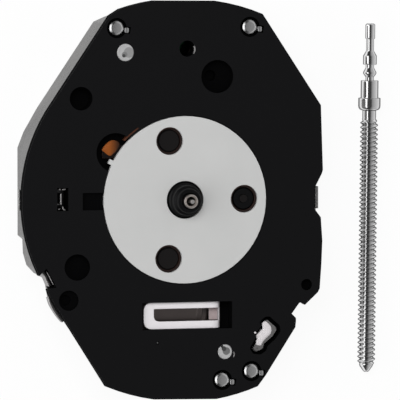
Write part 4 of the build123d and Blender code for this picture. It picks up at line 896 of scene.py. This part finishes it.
def contact_leaf():
    """Minus contact: a slotted leaf with rounded edges, a bent end, a leg and a foot on the cell.

    Its section between the outer loop and the loop of the slot is a flat bar with broken edges."""
    outer = loop_rectangle(leaf_left, leaf_right, -leaf_half_width, leaf_half_width, leaf_corners)
    below, above = leaf_slot_half_widths
    inner = loop_rectangle(leaf_slot_left, leaf_slot_right, -below, above, leaf_slot_corners)
    low = leaf_top - leaf_thickness
    inward = leaf_edge * (inner - outer) / np.linalg.norm(inner - outer, axis=1, keepdims=True)
    rows = [(outer, low + leaf_edge), (outer, leaf_top - leaf_edge), (outer + inward, leaf_top),
            (inner - inward, leaf_top), (inner, leaf_top - leaf_edge), (inner, low + leaf_edge),
            (inner - inward, low), (outer + inward, low)]
    grid = np.array([np.concatenate([loop, np.full((len(loop), 1), z)], axis=1) for loop, z in rows])
    foot_width = below + above
    foot_y = leaf_middle_y + (above - below) / 2
    leg_x = leaf_right - leg_inset
    foot = strip([(leaf_foot_left, foot_y), (leaf_foot_left + leaf_foot_step, foot_y), (leg_x, foot_y)],
                 battery_top + leaf_foot_gap, battery_top + leaf_thickness, foot_width, sheet_rounding)
    leg = strip([(leg_x, foot_y - foot_width / 2), (leg_x, foot_y), (leg_x, foot_y + foot_width / 2)],
                battery_top + leg_lift, leaf_top - leg_top_drop, leaf_thickness, sheet_rounding)
    patches = [(bend_down(grid), True, True), leg]
    make_piece("contact_leaf", patches, "frosted_leaf", replaced=["minus_contact"])
    make_piece("contact_foot", [foot], "shaded_leaf_foot")


def straight(line):
    """Points spread evenly from the first point of a line to its second."""
    start, end = np.asarray(line, float)
    share = np.linspace(0, 1, line_points)[:, None]
    return start * (1 - share) + end * share


def spring_clip():
    """Two parallel spring leaves in the notch at 7 to 8 o'clock, joined by a web."""
    outer = straight(clip_outer)
    inner = straight(clip_inner)
    width = np.linalg.norm(inner[0] - outer[0])
    patches = [strip(outer, clip_low, clip_outer_top, clip_outer_thickness, sheet_rounding),
               strip(inner, clip_inner_low, clip_inner_top, clip_inner_thickness, sheet_rounding),
               strip((outer + inner) / 2, clip_low, clip_low + clip_inner_thickness, width, sheet_rounding)]
    make_piece("spring_clip", patches, "spring_steel")


def slot_leaf():
    """Thin upright leaf with five small tabs in the slot at 9 o'clock, on the end of the core."""
    patches = [strip(straight(line), slot_leaf_low, slot_leaf_top, slot_leaf_thickness, slot_leaf_rounding)
               for line in slot_leaf_lines]
    make_piece("slot_leaf", patches, "spring_steel")


def small_bows():
    """Two thin bowed strips along short curves, their tops just proud of the plate: a bright strip
    on the dial-foot hole's rim that is a painted glint, and a sheet end beside the lower tube.
    """
    for name, line in (("foot_hole_glint", foot_hole_glint_line), ("tube_bow", tube_bow_line)):
        bow = rounded(line, small_bow_corners)
        patch = strip(bow, small_bow_low, small_bow_top, small_bow_thickness, sheet_rounding)
        make_piece(name, [patch], "spring_steel")


def cover_lip():
    """Lip of the stamped cover that stands out beside the plate, and the black seat under the clip."""
    line = rounded(cover_lip_line, cover_lip_corners)
    lip = strip(line, cover_lip_low, cover_lip_top, cover_lip_thickness, cover_lip_rounding)
    make_piece("cover_lip", [lip], "spring_steel")
    seat = strip(straight(clip_seat_line), clip_seat_low, clip_seat_top, clip_seat_thickness,
                 cover_lip_rounding)
    wall = strip(straight(clip_inner), clip_seat_low, clip_inner_low + clip_wall_overlap,
                 clip_inner_thickness + clip_wall_margin, pin_rounding)
    make_piece("clip_seat", [seat, wall], "black_moulding")


def clamp_hook():
    """Bright domed hook on the end of the battery clamp, its lower end, and the pin beside it."""
    hook = domed(hook_outline, hook_low, hook_rise, hook_wall, hook_rounding)
    dot = pin(hook_dot, hook_dot_radius, clip_low, hook_dot_top, hook_dot_chamfer)
    make_piece("clamp_hook", [hook, dot], "frosted_hook")
    end = domed(hook_end_outline, hook_end_low, hook_end_rise, hook_wall, hook_end_rounding)
    make_piece("hook_end", [end], "spring_steel")


def guard_ear():
    """Domed amber ear in the round pocket, and the lip of the guard sheet beside the disc.

    The lip is a strip along an arc about the hand axis."""
    angle = np.radians(np.linspace(*lip_angles, lip_points))
    arc = lip_radius * np.stack([np.cos(angle), np.sin(angle)], axis=1)
    ear = domed(ear_outline, ear_low, ear_rise, ear_wall, ear_rounding)
    make_piece("guard_ear", [ear], "amber_ear")
    lip = strip(arc, lip_low, lip_top, lip_width, lip_rounding)
    make_piece("guard_lip", [lip], "shaded_amber_lip")


# ---------------------------------------------------------------- stem


def stem_frame():
    """Place and direction of the stem's axis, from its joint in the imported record."""
    for joint in frame["record"]["behaviour"]["joints"]:
        if joint["name"] == "stem_turn":
            return np.array(joint["pos_m"]) / millimetre, np.array(joint["axis"])


def stem_surface():
    """Grid of the whole stem.

    The plain sections are turned from the profile. In the thread the radius is
    root + (crest - root) w, where w is a trapezoid wave of s / pitch - a / 2 pi that fades in
    over the first turn and out over the last one, which makes a right-hand helix."""
    profile = np.array(stem_profile)
    lengths = np.diff(profile[:, 0])
    dense = [profile[:1]]
    for index, length in enumerate(lengths):
        count = max(1, int(length / stem_row_length))
        share = np.linspace(0, 1, count + 1)[1:, None]
        dense.append(profile[index] * (1 - share) + profile[index + 1] * share)
    plain = np.vstack(dense)
    rows = np.arange(thread_turns * thread_rows + 1) * thread_pitch / thread_rows + thread_start
    thread = np.stack([rows, np.full(len(rows), thread_root)], axis=1)
    point = np.array(stem_point) + (rows[-1], 0)
    line = np.vstack([plain, thread[1:], point[1:]])
    angle = np.linspace(0, 2 * math.pi, stem_columns, endpoint=False)[None, :]
    along = line[:, :1]
    radius = line[:, 1:] + 0 * angle
    wave = (along - thread_start) / thread_pitch - angle / (2 * math.pi)
    ridge = np.clip(thread_wave_gain * (1 - np.abs(2 * (wave % 1) - 1)) - thread_wave_drop, 0, 1)
    end = rows[-1]
    fade = np.clip((along - thread_start) / thread_pitch, 0, 1) * np.clip((end - along) / thread_pitch, 0, 1)
    in_thread = (along > thread_start) & (along < end)
    radius = np.where(in_thread, radius + (thread_crest - thread_root) * ridge * fade, radius)
    grid = np.stack([along + 0 * angle, radius * np.cos(angle), radius * np.sin(angle)], axis=-1)
    start, direction = stem_frame()
    return place_along(grid, start, direction, (0, 0, 1))


def threaded_stem():
    """The loose stem, one closed grid."""
    patches = [(stem_surface(), False, True)]
    make_piece("threaded_stem", patches, "bright_stem", "stem", ["stem"], stem_sharp_angle)


# ---------------------------------------------------------------- floor, light and camera


def mix_shaders(tree, share, first, second):
    """Two shaders mixed by a share."""
    node = tree.nodes.new("ShaderNodeMixShader")
    return in_turn(tree, node, (share, first, second))["Shader"]


def studio_floor():
    """Pale floor: lit white, and white to the camera and in reflections, with a soft shadow kept.

    It lies a little under the part, and is clear when seen from below."""
    material = bpy.data.materials.new("pale_floor")
    material.use_nodes = True
    tree = material.node_tree
    shader = tree.nodes["Principled BSDF"]
    for key, value in (("Base Color", floor_colour), ("Roughness", floor_roughness),
                       ("Specular IOR Level", floor_specular)):
        shader.inputs[key].default_value = value
    glow = add(tree, "ShaderNodeEmission", Color=(1, 1, 1, 1))
    path = tree.nodes.new("ShaderNodeLightPath").outputs
    seen = math_node(tree, "MAXIMUM", path["Is Camera Ray"], path["Is Glossy Ray"])
    seen = math_node(tree, "MAXIMUM", seen, path["Is Transmission Ray"])
    share = math_node(tree, "MULTIPLY", seen, floor_glow_share)
    mix = mix_shaders(tree, share, shader.outputs[0], glow.outputs[0])
    below = tree.nodes.new("ShaderNodeNewGeometry").outputs["Backfacing"]
    clear = tree.nodes.new("ShaderNodeBsdfTransparent").outputs[0]
    join(tree, mix_shaders(tree, below, mix, clear), tree.nodes["Material Output"].inputs["Surface"])
    size = floor_half_width * millimetre
    low = -floor_gap * millimetre
    mesh = bpy.data.meshes.new("studio_floor")
    corners = [(-size, -size, low), (size, -size, low), (size, size, low), (-size, size, low)]
    mesh.from_pydata(corners, [], [(0, 1, 2, 3)])
    mesh.materials.append(material)
    floor = put("studio_floor", mesh)


def studio_world():
    """Light tent with a bright left side, a dark strip overhead and a grey right side.

    The level is a ramp over the angle atan2(x, z) from the vertical towards 3 o'clock, which fades
    to a darker one, from black at the left to grey at the right, towards 12 or 6 o'clock."""
    world = bpy.data.worlds.new("light_tent")
    bpy.context.scene.world = world
    world.use_nodes = True
    tree = world.node_tree
    background = tree.nodes["Background"]
    place = tree.nodes.new("ShaderNodeTexCoord").outputs["Generated"]
    split = add(tree, "ShaderNodeSeparateXYZ", Vector=place).outputs
    angle = math_node(tree, "ARCTAN2", split["X"], split["Z"])
    low, high = math.radians(tent_ramp[0][0]), math.radians(tent_ramp[-1][0])
    share = math_node(tree, "DIVIDE", math_node(tree, "SUBTRACT", angle, low), high - low)
    ramp = tree.nodes.new("ShaderNodeValToRGB")
    stops = ramp.color_ramp.elements
    while len(stops) < len(tent_ramp):
        stops.new(0.5)
    for stop, (turn, level) in zip(stops, tent_ramp):
        stop.position = (turn - tent_ramp[0][0]) / (tent_ramp[-1][0] - tent_ramp[0][0])
        stop.color = (level, level, level, 1)
    join(tree, share, ramp.inputs["Fac"])
    fade = between(tree, math_node(tree, "ABSOLUTE", split["Y"]), tent_side_start, tent_side_end)
    across = between(tree, split["X"], *tent_side_width)
    side = blend_colours(tree, across, grey(tent_side[0]), grey(tent_side[1]))
    colour = blend_colours(tree, fade, ramp.outputs["Color"], side)
    seen = tree.nodes.new("ShaderNodeLightPath").outputs["Is Camera Ray"]
    join(tree, blend_colours(tree, seen, colour, tent_seen), background.inputs["Color"])
    join(tree, tent_strength, background.inputs["Strength"])


def studio_lamp():
    """Square soft light that faces the part."""
    data = bpy.data.lights.new("top_light", "AREA")
    data.size = lamp_size
    data.energy = lamp_power
    light = put("top_light", data)
    light.location = lamp_place
    light.visible_glossy = False
    light.rotation_euler = (Vector(lamp_aim) - Vector(lamp_place)).to_track_quat("-Z", "Y").to_euler()


def studio_camera():
    """Long-lens camera that looks along the photograph's direction."""
    data = bpy.data.cameras.new("photo_camera")
    data.sensor_width = sensor_width
    data.lens = sensor_width * view_distance / picture_width
    data.clip_start, data.clip_end = camera_clip
    camera = put("photo_camera", data)
    back = Vector(view_direction).normalized()
    right = Vector(view_right).normalized()
    up = back.cross(right).normalized()
    place = (Vector(view_target) + back * view_distance) * millimetre
    camera.matrix_world = Matrix.Translation(place) @ Matrix((right, up, back)).transposed().to_4x4()
    bpy.context.scene.camera = camera


for build in (hour_post, minute_post, keyed_heads, screw_tubes, rest_pin, contact_leaf, spring_clip,
              slot_leaf, small_bows, cover_lip, clamp_hook, guard_ear, threaded_stem, studio_floor,
              studio_world, studio_lamp, studio_camera):
    build()
bpy.context.scene.view_settings.view_transform = "Standard"
